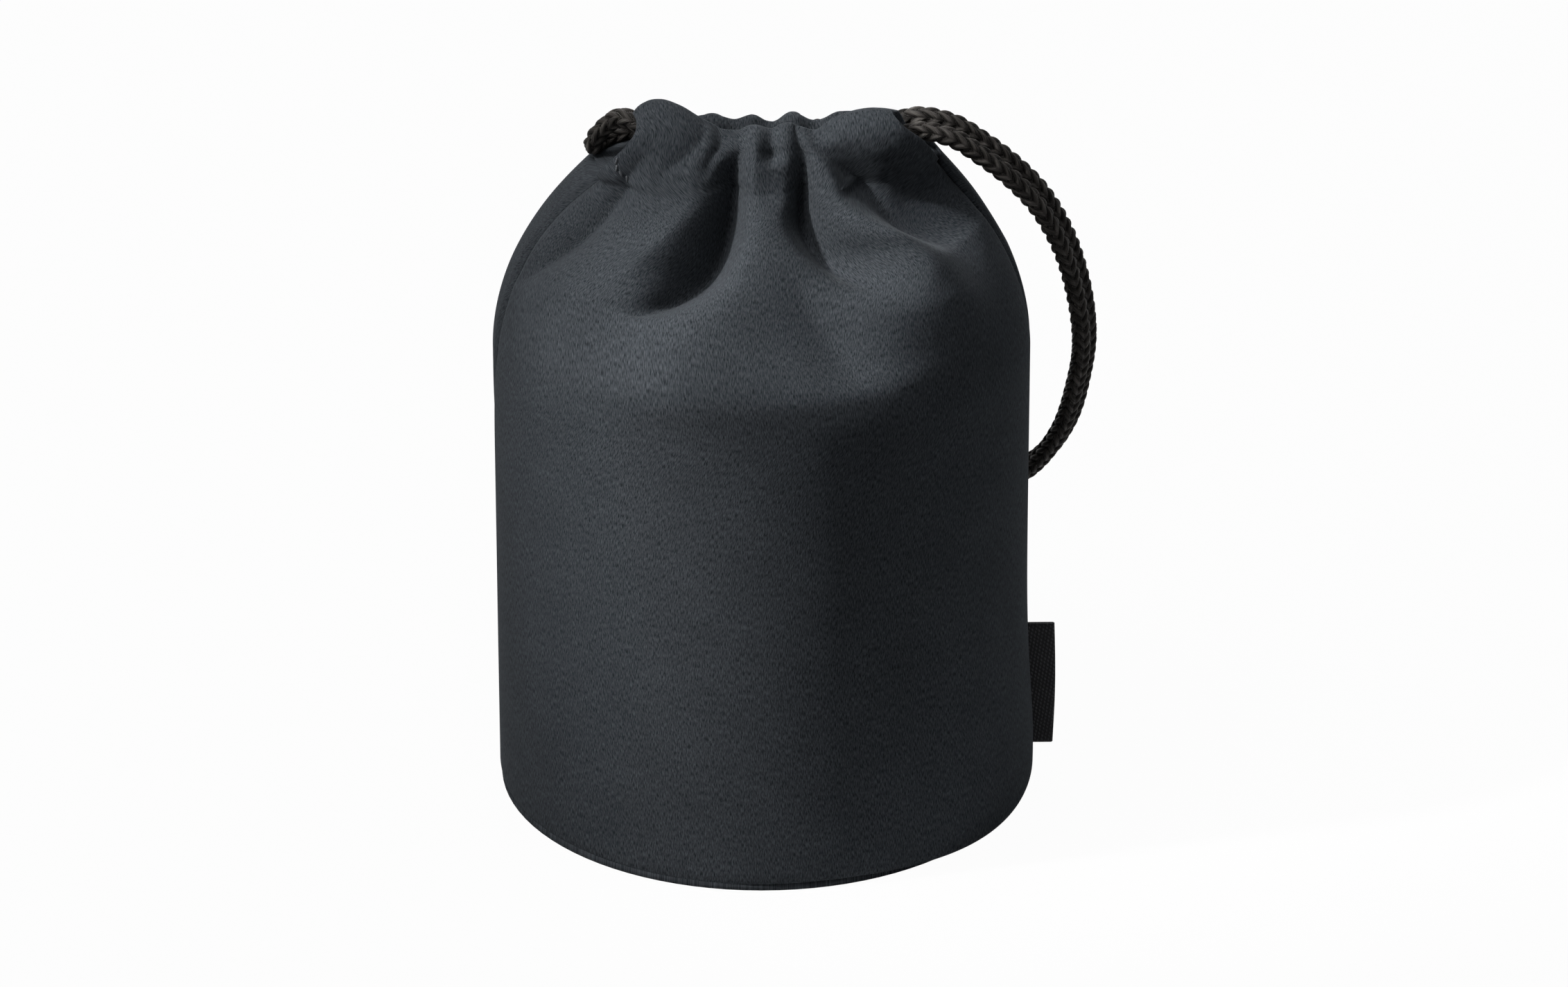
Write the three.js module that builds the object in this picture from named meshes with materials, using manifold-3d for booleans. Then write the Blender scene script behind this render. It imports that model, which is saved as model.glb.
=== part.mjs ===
// Drawstring lens pouch: a round soft pouch of suede cloth, drawn shut at the top by a braided cord.
// Millimetres, +Z up. The origin is the middle of the base, on the surface that the pouch stands on.
// The front faces -Y. The sewn-in label and the free ends of the cord are on the +X side.
import * as THREE from "three";
import { mergeVertices } from "three/addons/utils/BufferGeometryUtils.js";
import Module from "manifold-3d";

// Cloth and clearances
const FABRIC = 1.2; // suede cloth with its brushed backing
const TAPE = 0.9; // binding tape over the raw edges of a seam
const TAPE_WIDTH = 8;
const TAPE_END = 7; // the side tapes stop this far below the row of stitches
const THREAD = 0.5; // sewing thread
const GAP = 0.3; // left between pieces that lie against each other

// Filled body
const BODY_RADIUS = 47.5; // outside of the wall
const CURL_IN = 1.5; // how far the foot of the wall turns in under the pouch
const CURL_HEIGHT = 3; // height of that turn
const SEAM_LIFT = 0.6; // base seam above the surface that the base rests on
const SHOULDER_Z = 85; // where the sides of the wall start to draw in
const FACE_DELAY = 10; // the front and the back start to draw in this much higher

// Drawn neck and the two lips of the mouth
const SHOULDER_RISE = 34.5; // from the sides' start to the row of stitches under the cord casing
const SHOULDER_EASE = 0.9; // how much sooner than the sides the front and the back come in
const CASING_HEIGHT = 10.5; // from that row to the folded top edge
const NECK_HALF_WIDTH = 31.5; // side slit to middle, at the row of stitches
const NECK_SHIFT = 1; // the neck is drawn this far to the right
const LIP_HALF_WIDTH = 23; // end of a casing to middle
const MOUTH_GAP = 5; // clear width between the lips
const PUCKER_PITCH = 6.4; // small puckers along a casing
const PUCKER_HEIGHT = 0.7;

// Main folds of the gathered cloth. Each point of a fold is how far it lies below the row of stitches, its share
// of the turn (0 is the left seam, 0.5 the middle of the front, 1 the right seam, 1.5 the middle of the back),
// its depth, and how wide its two flanks are. A ridge has a depth below zero.
const FOLD_SHARPNESS = 1.6; // 2 would be a round fold, 1 a crease
const FOLDS = [
  [[15.5, 0.3, 0, 7, 9], [9.8, 0.355, 4, 7, 9], [5.2, 0.41, 6.4, 7, 7.5], [0, 0.43, 5.6, 6, 5]],
  [[12.5, 0.72, 0, 11, 8], [6.7, 0.645, 4, 9, 8], [3.5, 0.595, 5.4, 7, 7], [0, 0.571, 5, 5, 5.5]],
  [[12.5, 0.89, 0, 8, 9], [4.8, 0.815, 4.2, 8, 11], [0, 0.75, 5.4, 7, 11]],
  [[19.5, 0.068, 0, 4, 4], [9.5, 0.137, 2.8, 4, 4], [0, 0.18, 2.4, 3.5, 3.5]],
  [[16.1, 0.41, 0, 8, 8], [9.3, 0.458, -1.8, 6, 6], [0, 0.468, -1.7, 4, 4]],
  [[14.2, 0.68, 0, 9, 8], [10.1, 0.735, -1.6, 8, 7], [3.5, 0.68, -2.2, 6, 6], [0, 0.632, -1.9, 4.5, 4.5]],
  [[18.5, 1.13, 0, 7, 7], [11.5, 1.16, 2.4, 6, 5], [5.5, 1.2, 4.2, 4.5, 4.5], [0, 1.22, 3.6, 4, 4]],
  [[23.5, 1.3, 0, 8, 9], [14.5, 1.32, 3, 6, 7], [6.5, 1.35, 5.4, 4.5, 5], [0, 1.36, 4.2, 4, 4]],
  [[19.5, 1.4, 0, 6, 6], [9.5, 1.415, -1.5, 5, 5], [0, 1.425, -1.3, 4, 4]],
  [[20.5, 1.47, 0, 8, 9], [12.5, 1.48, 3.4, 5, 7], [6.5, 1.49, 5.8, 4.5, 5.5], [0, 1.495, 4.4, 4, 4]],
  [[19.5, 1.56, 0, 6, 6], [9.5, 1.555, -1.6, 5, 5], [0, 1.55, -1.4, 4, 4]],
  [[24.5, 1.67, 0, 9, 8], [15.5, 1.655, 2.8, 7, 6], [7.5, 1.625, 5.6, 5.5, 4.5], [0, 1.61, 4.2, 4, 4]],
  [[21.5, 1.83, 0, 8, 8], [13.5, 1.81, 3, 6, 6], [6.5, 1.77, 4.8, 4.5, 5], [0, 1.75, 4, 4, 4]],
];
const PANEL_COLUMNS = 42;
const ROW_EASE = 0.7; // below 1, the rows of the shoulder lie closer together near the stitches

// Base
const PAD_HEIGHT = 3; // foam disc
const LINING = 0.8; // inner disc over the foam
const PAD_MARGIN = 3.2; // foam edge inside the base's edge
const LINING_MARGIN = 0.8; // lining edge inside the wall

// Cord
const CORD_DIAMETER = 3.6;
const CORD_PLAY = 0.5; // room between the cord and its casing
const CORD_SIDES = 8;
const CORD_TRAVEL = 4; // how far the free ends are drawn in as the mouth opens
const STRAND_PITCH = 3.9; // the two free strands lie this far apart
const RUN_LEFT = 14.5; // inner layer of a casing to the left of the middle
const RUN_RIGHT = 11; // inner layer to the right of the middle
const BIGHT_REACH = 13.8; // loop that shows at the left slit, past the inner layer
const BIGHT_DROP = 2.6; // how far that loop sags
const BIGHT_PINCH = 1.9; // the loop is this much narrower than the cord in the casings, on each side
const KNOT_LOOP_RADIUS = 3;
const KNOT_STRAND = 3.8; // thickness of the knotted cord
const TIP_LENGTH = 7; // cut ends below the knot

// Label
const LABEL_HEIGHT = 24;
const LABEL_LOW_Z = 5.6;
const LABEL_REACH = 5.3; // from the wall to the fold
const LABEL_THICKNESS = 1; // folded woven tape

// Sizes that follow
const stitchZ = SHOULDER_Z + SHOULDER_RISE;
const rimZ = stitchZ + CASING_HEIGHT;
const lipInner = MOUTH_GAP / 2;
const cordY = lipInner + FABRIC + CORD_PLAY + CORD_DIAMETER / 2;
const lipOuter = cordY + CORD_DIAMETER / 2 + CORD_PLAY + FABRIC;
const neckHalfDepth = lipOuter + GAP + FABRIC;
const cordZ = (stitchZ + rimZ) / 2;
const faceShoulderZ = SHOULDER_Z + FACE_DELAY;
const wallFoot = SEAM_LIFT + CURL_HEIGHT;
const panelTopZ = stitchZ - GAP;
const knotRadius = KNOT_LOOP_RADIUS + KNOT_STRAND / 2;

// Free end of the cord, down the middle of its two strands: out of the right side slit, over in a
// springy arc, round the back of the pouch and down to the knot
const KNOT_CENTRE = new THREE.Vector3(35.4, 47.2, 21);
const PULL_ROUTE = [
  [28, 0, 126.8],
  [33.2, 0.4, 125.4],
  [38.7, 1, 121.6],
  [43.6, 2, 117.2],
  [47.9, 3.2, 112.2],
  [52.8, 6, 102.9],
  [55.7, 9.2, 93.2],
  [57.6, 13.5, 79],
  [56.8, 18, 68.7],
  [54.7, 23, 57.8],
  [49.8, 29.6, 47],
  [43.2, 36.6, 39.4],
  [39, 42, 33.2],
];
const STRANDS_APART_AT_SLIT = new THREE.Vector3(0.1, 1, 0.3);
const STRANDS_APART_AT_KNOT = new THREE.Vector3(0.5, 0.85, 0);

const suede = new THREE.MeshStandardMaterial({ color: 0x2b2e33, roughness: 0.95 });
const backing = new THREE.MeshStandardMaterial({ color: 0x1d1f22, roughness: 1 });
const foam = new THREE.MeshStandardMaterial({ color: 0x55585c, roughness: 1 });
const braid = new THREE.MeshStandardMaterial({ color: 0x1b1a19, roughness: 0.6 });
const wovenLabel = new THREE.MeshStandardMaterial({ color: 0x17181a, roughness: 0.8 });
const sewingThread = new THREE.MeshStandardMaterial({ color: 0x202226, roughness: 0.7 });

const wasm = await Module();
wasm.setup();

// A closed geometry as a solid that can be joined and cut.
function solidOf(geometry) {
  const bare = geometry.clone();
  bare.deleteAttribute("normal");
  bare.deleteAttribute("uv");
  const merged = mergeVertices(bare);
  return new wasm.Manifold(
    new wasm.Mesh({
      numProp: 3,
      vertProperties: merged.attributes.position.array,
      triVerts: new Uint32Array(merged.index.array),
    }),
  );
}

function geometryOf(solid) {
  const mesh = solid.getMesh();
  return new THREE.BufferGeometry()
    .setAttribute("position", new THREE.BufferAttribute(mesh.vertProperties, 3))
    .setIndex(new THREE.BufferAttribute(mesh.triVerts, 1));
}

function piece(name, geometry, material) {
  const mesh = new THREE.Mesh(geometry, material);
  mesh.name = name;
  return mesh;
}

function body(...pieces) {
  return new THREE.Group().add(...pieces);
}

// A round cord or thread along a smooth curve through the points.
function tube(points, diameter, sides, steps) {
  const ring = [];
  for (let k = 0; k < sides; k++) {
    const a = (2 * Math.PI * k) / sides;
    ring.push(new THREE.Vector2((diameter / 2) * Math.cos(a), (diameter / 2) * Math.sin(a)));
  }
  const path = new THREE.CatmullRomCurve3(points);
  return new THREE.ExtrudeGeometry(new THREE.Shape(ring), { steps, extrudePath: path, bevelEnabled: false });
}

// A disc or ring about the Z axis from its half section, given as [radius, z] corners.
function turned(section, segments = 64) {
  const profile = section.map(([r, z]) => new THREE.Vector2(r, z));
  return new THREE.LatheGeometry(profile, segments).rotateX(Math.PI / 2);
}

// Plan of the full wall at share u of the turn.
function wallPlan(u) {
  const a = Math.PI * (1 + u);
  return new THREE.Vector2(BODY_RADIUS * Math.cos(a), BODY_RADIUS * Math.sin(a));
}

// Plan of the drawn neck at the same share: a slot with round ends.
const neckStraight = NECK_HALF_WIDTH - neckHalfDepth;
const neckCorner = (Math.PI / 2) * neckHalfDepth;
const neckHalfTurn = 2 * (neckCorner + neckStraight);
function neckPlan(u) {
  const side = u < 0 || u > 1 ? 1 : -1;
  const along = neckHalfTurn * (u > 1 ? 2 - u : Math.abs(u));
  const pastLeft = Math.min(along, neckCorner);
  const pastRight = Math.max(along - neckCorner - 2 * neckStraight, 0);
  const a = (pastLeft + pastRight) / neckHalfDepth;
  const straight = THREE.MathUtils.clamp(along - neckCorner - neckStraight, -neckStraight, neckStraight);
  return new THREE.Vector2(
    NECK_SHIFT + straight - neckHalfDepth * Math.cos(a),
    side * neckHalfDepth * Math.sin(a),
  );
}

// Outer face of the cloth without its folds. u runs round the pouch.
// level runs up the cloth: 0 to 1 is the turned-in foot, 1 to 2 the wall, 2 to 3 the gathered shoulder.
function plain(u, level) {
  const plan = wallPlan(u);
  if (level <= 1) {
    const a = (level * Math.PI) / 2;
    plan.multiplyScalar((BODY_RADIUS - CURL_IN * (1 - Math.sin(a))) / BODY_RADIUS);
    return new THREE.Vector3(plan.x, plan.y, SEAM_LIFT + CURL_HEIGHT * (1 - Math.cos(a)));
  }
  if (level <= 2) return new THREE.Vector3(plan.x, plan.y, wallFoot + (level - 1) * (SHOULDER_Z - wallFoot));
  const rise = level - 2;
  const z = SHOULDER_Z + rise * (panelTopZ - SHOULDER_Z);
  const neck = neckPlan(u);
  const faceRise = faceShare(z);
  plan.x += (neck.x - plan.x) * rise ** 2;
  plan.y += (neck.y - plan.y) * faceRise ** 2 * (1 + SHOULDER_EASE * (1 - faceRise));
  return new THREE.Vector3(plan.x, plan.y, z);
}

// Share of the front's and the back's own rise, from their start to the row of stitches.
function faceShare(z) {
  return THREE.MathUtils.clamp((z - faceShoulderZ) / (stitchZ - faceShoulderZ), 0, 1);
}

// Depth of all folds at a share of the turn and a height.
function foldDepth(u, z) {
  const drop = stitchZ - z;
  const rise = THREE.MathUtils.clamp((z - SHOULDER_Z) / SHOULDER_RISE, 0, 1);
  const halfTurn = THREE.MathUtils.lerp(Math.PI * BODY_RADIUS, neckHalfTurn, rise ** 2);
  let total = 0;
  for (const fold of FOLDS) {
    const next = fold.findIndex((point) => point[0] <= drop);
    if (next < 1) continue;
    const [low, high] = [fold[next - 1], fold[next]];
    const t = (drop - low[0]) / (high[0] - low[0]);
    const [, place, depth, left, right] = low.map((value, k) => THREE.MathUtils.lerp(value, high[k], t));
    const away = (u - place) * halfTurn;
    total += depth * Math.exp(-((Math.abs(away) / (away < 0 ? left : right)) ** FOLD_SHARPNESS));
  }
  return total;
}

// Direction out of a surface of the cloth.
function outOf(surface, u, level) {
  const step = 1e-3;
  const across = surface(u + step, level).sub(surface(u - step, level));
  const up = surface(u, Math.min(level + step, 3)).sub(surface(u, Math.max(level - step, 0)));
  return across.cross(up).normalize();
}

// Outer face with its folds. They go in square to the shoulder, and level under the row of stitches.
function skin(u, level) {
  const point = plain(u, level);
  const depth = foldDepth(u, point.z);
  if (depth === 0) return point;
  const out = outOf(plain, u, level);
  out.z *= 1 - faceShare(point.z) ** 3;
  return point.addScaledVector(out.normalize(), -depth);
}

// A point at a depth under the outer face of the cloth.
function under(u, level, depth) {
  return skin(u, level).addScaledVector(outOf(skin, u, level), -depth);
}

// Levels that follow the foot, the wall and the shoulder with few rows.
function levels(from, to, footRows, wallRows, shoulderRows) {
  const all = [];
  [footRows, wallRows, shoulderRows].forEach((count, zone) => {
    for (let k = 0; k < count; k++) all.push(zone + (k / count) ** (zone === 2 ? ROW_EASE : 1));
  });
  all.push(3);
  return [from, ...all.filter((level) => level > from && level < to), to];
}

// A closed sheet that follows the skin between two depths. Each square is cut along its shorter diagonal,
// so that the cuts run along the folds.
function sheet(fromU, toU, columns, rows, outerDepth, innerDepth) {
  const positions = [];
  for (const depth of [outerDepth, innerDepth])
    for (const level of rows)
      for (let i = 0; i <= columns; i++)
        positions.push(...under(fromU + ((toU - fromU) * i) / columns, level, depth));
  const at = (layer, i, j) => (layer * rows.length + j) * (columns + 1) + i;
  const index = [];
  const corner = (k) => new THREE.Vector3().fromArray(positions, 3 * k);
  const quad = (a, b, c, d) => {
    const alongFold = corner(a).distanceTo(corner(c)) <= corner(b).distanceTo(corner(d));
    index.push(...(alongFold ? [a, b, c, a, c, d] : [a, b, d, b, c, d]));
  };
  const last = rows.length - 1;
  for (let j = 0; j < last; j++) {
    for (let i = 0; i < columns; i++) {
      quad(at(0, i, j), at(0, i + 1, j), at(0, i + 1, j + 1), at(0, i, j + 1));
      quad(at(1, i, j), at(1, i, j + 1), at(1, i + 1, j + 1), at(1, i + 1, j));
    }
    quad(at(0, 0, j), at(0, 0, j + 1), at(1, 0, j + 1), at(1, 0, j));
    quad(at(0, columns, j), at(1, columns, j), at(1, columns, j + 1), at(0, columns, j + 1));
  }
  for (let i = 0; i < columns; i++) {
    quad(at(0, i, 0), at(1, i, 0), at(1, i + 1, 0), at(0, i + 1, 0));
    quad(at(0, i, last), at(0, i + 1, last), at(1, i + 1, last), at(1, i, last));
  }
  return new THREE.BufferGeometry()
    .setAttribute("position", new THREE.Float32BufferAttribute(positions, 3))
    .setIndex(index);
}

// Base, from below: outer disc, tape and thread over its seam, foam and lining.
const baseRadius = BODY_RADIUS - CURL_IN - GAP;
const padLow = FABRIC + GAP;
const padRadius = baseRadius - PAD_MARGIN;
const liningLow = padLow + PAD_HEIGHT + GAP;
const liningRadius = BODY_RADIUS - FABRIC - LINING_MARGIN;
const seamTapeLow = SEAM_LIFT + FABRIC + GAP;
const seamTapeInner = padRadius + GAP;
const seamTapeOuter = BODY_RADIUS - FABRIC - 2 * GAP;
const seamThreadZ = seamTapeLow + TAPE + GAP + THREAD / 2;
const seamThreadRadius = (seamTapeInner + seamTapeOuter) / 2;

// Front and back panels, sewn to each other at the side seams.
const panelRows = levels(0, 3, 2, 1, 10);
const frontPanel = sheet(0, 1, PANEL_COLUMNS, panelRows, 0, FABRIC).translate(0, -GAP / 2, 0);
const backPanel = sheet(1, 2, PANEL_COLUMNS, panelRows, 0, FABRIC).translate(0, GAP / 2, 0);

// Tape over the raw edges inside each side seam, and the thread that holds it. Both start above the lining.
const tapeLow = Math.max(liningLow + LINING + GAP, wallFoot);
const tapeFrom = 1 + (tapeLow - wallFoot) / (SHOULDER_Z - wallFoot);
const tapeTo = 3 - TAPE_END / SHOULDER_RISE;
const tapeRows = levels(tapeFrom, tapeTo, 2, 3, 8);
const tapeDepth = FABRIC + GAP;
const tapeShare = TAPE_WIDTH / 2 / (Math.PI * BODY_RADIUS);
const [leftTape, rightTape] = [0, 1].map((seam) =>
  sheet(seam - tapeShare, seam + tapeShare, 4, tapeRows, tapeDepth, tapeDepth + TAPE),
);
const [leftThread, rightThread] = [0, 1].map((seam) => {
  const points = tapeRows.map((level) => under(seam, level, tapeDepth + TAPE + GAP + THREAD / 2));
  return tube(points, THREAD, 5, 24);
});

function disc(radius, low, height) {
  return turned([
    [0, low],
    [radius, low],
    [radius, low + height],
    [0, low + height],
  ]);
}

const seamTape = turned([
  [seamTapeInner, seamTapeLow],
  [seamTapeOuter, seamTapeLow],
  [seamTapeOuter, seamTapeLow + TAPE],
  [seamTapeInner, seamTapeLow + TAPE],
  [seamTapeInner, seamTapeLow],
]);
const seamThread = new THREE.TorusGeometry(seamThreadRadius, THREAD / 2, 5, 64).translate(0, 0, seamThreadZ);

// A casing: the cloth folded over the cord and stitched down. It is one lip of the mouth, and its
// inner layer stops short of both ends, so that the cord can leave by the side slits.
function casing(facing) {
  const section = new THREE.Shape()
    .moveTo(lipInner, stitchZ)
    .lineTo(lipOuter, stitchZ)
    .lineTo(lipOuter, cordZ)
    .lineTo(lipOuter, rimZ - FABRIC)
    .lineTo(lipOuter - FABRIC, rimZ)
    .lineTo(lipInner + FABRIC, rimZ)
    .lineTo(lipInner, rimZ - FABRIC)
    .lineTo(lipInner, stitchZ);
  const tunnel = new THREE.Path()
    .moveTo(lipInner + FABRIC, stitchZ + FABRIC)
    .lineTo(lipInner + FABRIC, rimZ - FABRIC)
    .lineTo(lipOuter - FABRIC, rimZ - FABRIC)
    .lineTo(lipOuter - FABRIC, stitchZ + FABRIC);
  section.holes.push(tunnel);
  const puckers = Math.round((2 * LIP_HALF_WIDTH) / PUCKER_PITCH);
  const folded = new THREE.ExtrudeGeometry(section, {
    depth: 2 * LIP_HALF_WIDTH,
    steps: 4 * puckers,
    bevelEnabled: false,
  });
  const place = folded.getAttribute("position");
  for (let k = 0; k < place.count; k++) {
    const out = place.getX(k);
    const z = place.getY(k);
    const along = place.getZ(k);
    const pucker = PUCKER_HEIGHT * Math.sin((Math.PI * puckers * along) / (2 * LIP_HALF_WIDTH)) ** 2;
    const raised = z > stitchZ + FABRIC && out > lipOuter - FABRIC / 2 ? pucker : 0;
    const lifted = z > rimZ - FABRIC / 2 ? pucker : 0;
    place.setXYZ(k, LIP_HALF_WIDTH - along, -out - raised, z + lifted);
  }
  const turn = facing === "front" ? 0 : Math.PI;
  const lip = solidOf(folded.rotateZ(turn));
  const cutLow = stitchZ - GAP;
  const cutHeight = rimZ - FABRIC - cutLow;
  const cutDepth = lipOuter - FABRIC;
  const side = facing === "front" ? -1 : 1;
  const cutAway = [
    [RUN_RIGHT, LIP_HALF_WIDTH + GAP],
    [-LIP_HALF_WIDTH - GAP, -RUN_LEFT],
  ].map(([from, to]) => {
    const box = new THREE.BoxGeometry(to - from, cutDepth, cutHeight);
    return solidOf(box.translate((from + to) / 2, (side * cutDepth) / 2, cutLow + cutHeight / 2));
  });
  return geometryOf(cutAway.reduce((left, box) => left.subtract(box), lip));
}

// The stitches under a casing, on the outside of the cloth.
function casingThread(side) {
  const y = side * (lipOuter + GAP + THREAD / 2);
  const z = stitchZ + FABRIC / 2;
  const ends = [-LIP_HALF_WIDTH, 0, LIP_HALF_WIDTH].map((x) => new THREE.Vector3(x, y, z));
  return tube(ends, THREAD, 5, 8);
}

// The cord in a casing.
function cordRun(side) {
  const left = -RUN_LEFT;
  const points = [left, (left + RUN_RIGHT) / 2, RUN_RIGHT].map((x) => new THREE.Vector3(x, side * cordY, cordZ));
  return tube(points, CORD_DIAMETER, CORD_SIDES, 4);
}

// The bend of the cord that shows at the left slit, from the front casing round to the back one.
function cordBight() {
  const bend = cordY - BIGHT_PINCH;
  const left = -RUN_LEFT - 2 * GAP;
  const turnX = left - BIGHT_REACH + bend;
  const sag = (x) => cordZ - BIGHT_DROP * ((left - x) / BIGHT_REACH) ** 2;
  const front = [new THREE.Vector3(left, -cordY, cordZ)];
  front.push(new THREE.Vector3((left + turnX) / 2, -(cordY + bend) / 2, sag((left + turnX) / 2)));
  const round = [];
  for (let k = 0; k <= 6; k++) {
    const a = (Math.PI * k) / 6;
    const x = turnX - bend * Math.sin(a);
    round.push(new THREE.Vector3(x, -bend * Math.cos(a), sag(x)));
  }
  const back = front.map((p) => new THREE.Vector3(p.x, -p.y, p.z)).reverse();
  return tube([...front, ...round, ...back], CORD_DIAMETER, CORD_SIDES, 20);
}

// One free strand of the cord, from its casing to the knot.
function pullStrand(side) {
  const start = RUN_RIGHT + CORD_TRAVEL + 2 * GAP;
  const slitX = PULL_ROUTE[0][0];
  const points = [
    new THREE.Vector3(start, side * cordY, cordZ),
    new THREE.Vector3((start + slitX) / 2, (side * (cordY + STRAND_PITCH / 2)) / 2, cordZ + CORD_PLAY),
  ];
  const middle = PULL_ROUTE.map((p) => new THREE.Vector3(...p));
  const last = middle[middle.length - 1];
  const intoKnot = last.clone().sub(KNOT_CENTRE).setLength(knotRadius + GAP).add(KNOT_CENTRE);
  const route = new THREE.CatmullRomCurve3([...middle, intoKnot]);
  const count = PULL_ROUTE.length;
  for (let k = 0; k <= count; k++) {
    const t = k / count;
    const along = route.getTangent(t);
    const apart = STRANDS_APART_AT_SLIT.clone().lerp(STRANDS_APART_AT_KNOT, t);
    apart.addScaledVector(along, -apart.dot(along)).setLength((side * STRAND_PITCH) / 2);
    points.push(route.getPoint(t).add(apart));
  }
  return tube(points, CORD_DIAMETER, CORD_SIDES, 26);
}

// Overhand knot that joins the two strands: three turns drawn tight.
function knot() {
  const turns = [
    [0, 0],
    [Math.PI / 3, Math.PI / 2.4],
    [-Math.PI / 3, Math.PI / 1.8],
  ].map(([spin, tilt]) => {
    const ring = new THREE.TorusGeometry(KNOT_LOOP_RADIUS, KNOT_STRAND / 2, 8, 16);
    return solidOf(ring.rotateX(tilt).rotateZ(spin));
  });
  const core = solidOf(new THREE.IcosahedronGeometry(KNOT_LOOP_RADIUS, 1));
  return geometryOf(turns.reduce((made, turn) => made.add(turn), core)).translate(...KNOT_CENTRE);
}

// Cut end of a strand, hanging below the knot.
function cordTip(side) {
  const apart = STRANDS_APART_AT_KNOT.clone().setLength((side * STRAND_PITCH) / 2);
  const top = KNOT_CENTRE.clone().add(apart).setZ(KNOT_CENTRE.z - knotRadius - GAP);
  const bottom = top.clone().addScaledVector(apart, 0.4).setZ(top.z - TIP_LENGTH);
  const points = [top, top.clone().lerp(bottom, 0.5), bottom];
  return tube(points, CORD_DIAMETER, CORD_SIDES, 3);
}

// Folded label, caught in the right seam. Its inner edge is round, where the cloth bends.
function label() {
  const nose = BODY_RADIUS + GAP + LABEL_THICKNESS / 2;
  const fold = BODY_RADIUS + LABEL_REACH - LABEL_THICKNESS / 2;
  const section = new THREE.Shape()
    .absarc(nose, 0, LABEL_THICKNESS / 2, Math.PI / 2, 1.5 * Math.PI)
    .absarc(fold, 0, LABEL_THICKNESS / 2, -Math.PI / 2, Math.PI / 2);
  const tab = new THREE.ExtrudeGeometry(section, { depth: LABEL_HEIGHT, bevelEnabled: false, curveSegments: 6 });
  return tab.translate(0, 0, LABEL_LOW_Z);
}

const pouch = body(
  piece("front_panel", frontPanel, suede),
  piece("back_panel", backPanel, suede),
  piece("base_panel", disc(baseRadius, 0, FABRIC), suede),
  piece("base_pad", disc(padRadius, padLow, PAD_HEIGHT), foam),
  piece("base_lining", disc(liningRadius, liningLow, LINING), backing),
  piece("base_seam_tape", seamTape, backing),
  piece("base_seam_thread", seamThread, sewingThread),
  piece("left_seam_tape", leftTape, backing),
  piece("right_seam_tape", rightTape, backing),
  piece("left_seam_thread", leftThread, sewingThread),
  piece("right_seam_thread", rightThread, sewingThread),
  piece("cord_bight", cordBight(), braid),
);
const frontLip = body(
  piece("front_casing", casing("front"), suede),
  piece("front_casing_thread", casingThread(-1), sewingThread),
  piece("front_cord_run", cordRun(-1), braid),
);
const backLip = body(
  piece("back_casing", casing("back"), suede),
  piece("back_casing_thread", casingThread(1), sewingThread),
  piece("back_cord_run", cordRun(1), braid),
);
const pullCord = body(
  piece("front_pull_strand", pullStrand(-1), braid),
  piece("back_pull_strand", pullStrand(1), braid),
  piece("cord_knot", knot(), braid),
  piece("front_cord_tip", cordTip(-1), braid),
  piece("back_cord_tip", cordTip(1), braid),
);
const labelTab = body(piece("label_tab", label(), wovenLabel));

export default body(pouch, frontLip, backLip, pullCord, labelTab);
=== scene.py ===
# %% [markdown]
# # A drawstring lens pouch
#
# The object is a small charcoal pouch for a camera lens: two panels of suede cloth on a round base,
# a casing folded over at the top of each panel, and one plaited cord that draws the mouth shut.
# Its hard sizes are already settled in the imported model, which is loaded here as a fixed frame.
# This script only gives the looks, so every new piece stands where its plain solid stands.

# %% Load the frame
import math

import bpy
import numpy as np
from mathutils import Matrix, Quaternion, Vector


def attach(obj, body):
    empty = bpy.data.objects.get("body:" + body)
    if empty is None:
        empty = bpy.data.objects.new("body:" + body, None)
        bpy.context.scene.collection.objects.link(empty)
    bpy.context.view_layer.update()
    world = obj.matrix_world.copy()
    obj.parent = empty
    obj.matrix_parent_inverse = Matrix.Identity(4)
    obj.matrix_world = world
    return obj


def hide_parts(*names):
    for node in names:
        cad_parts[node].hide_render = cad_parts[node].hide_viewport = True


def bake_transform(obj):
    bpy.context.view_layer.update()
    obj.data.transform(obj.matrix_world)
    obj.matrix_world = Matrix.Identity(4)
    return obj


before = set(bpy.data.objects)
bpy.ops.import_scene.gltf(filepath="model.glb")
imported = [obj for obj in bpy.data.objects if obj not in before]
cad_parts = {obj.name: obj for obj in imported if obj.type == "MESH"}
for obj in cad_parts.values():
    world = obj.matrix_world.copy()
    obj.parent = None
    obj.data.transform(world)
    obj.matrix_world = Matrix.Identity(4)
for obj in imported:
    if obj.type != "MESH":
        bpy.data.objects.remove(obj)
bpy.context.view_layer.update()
scene = bpy.context.scene
MM = 0.001

# %% [markdown]
# ## Camera
#
# A product photo like this one is taken from a step back with a long lens, so that upright edges stay
# upright. The camera could be moved about by hand, but the round base gives the angle: its front edge
# is part of an ellipse whose height against its width is the sine of the camera's rise.

# %% Camera
CAMERA_DISTANCE = 1.4
CAMERA_RISE = math.radians(26.2)
CAMERA_LENS = 180.1
CAMERA_AIM = Vector((3.96, 0, 54.9)) * MM

looking = Vector((0, math.cos(CAMERA_RISE), -math.sin(CAMERA_RISE)))
bpy.ops.object.select_all(action="DESELECT")
bpy.ops.object.camera_add(
    location=CAMERA_AIM - looking * CAMERA_DISTANCE,
    rotation=(math.pi / 2 - CAMERA_RISE, 0, 0),
)
camera = bpy.context.object
camera.name = "photo_camera"
camera.data.lens = CAMERA_LENS
scene.camera = camera
print("camera", round(CAMERA_DISTANCE, 2), "m away, rising", round(math.degrees(CAMERA_RISE), 1), "degrees")

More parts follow.
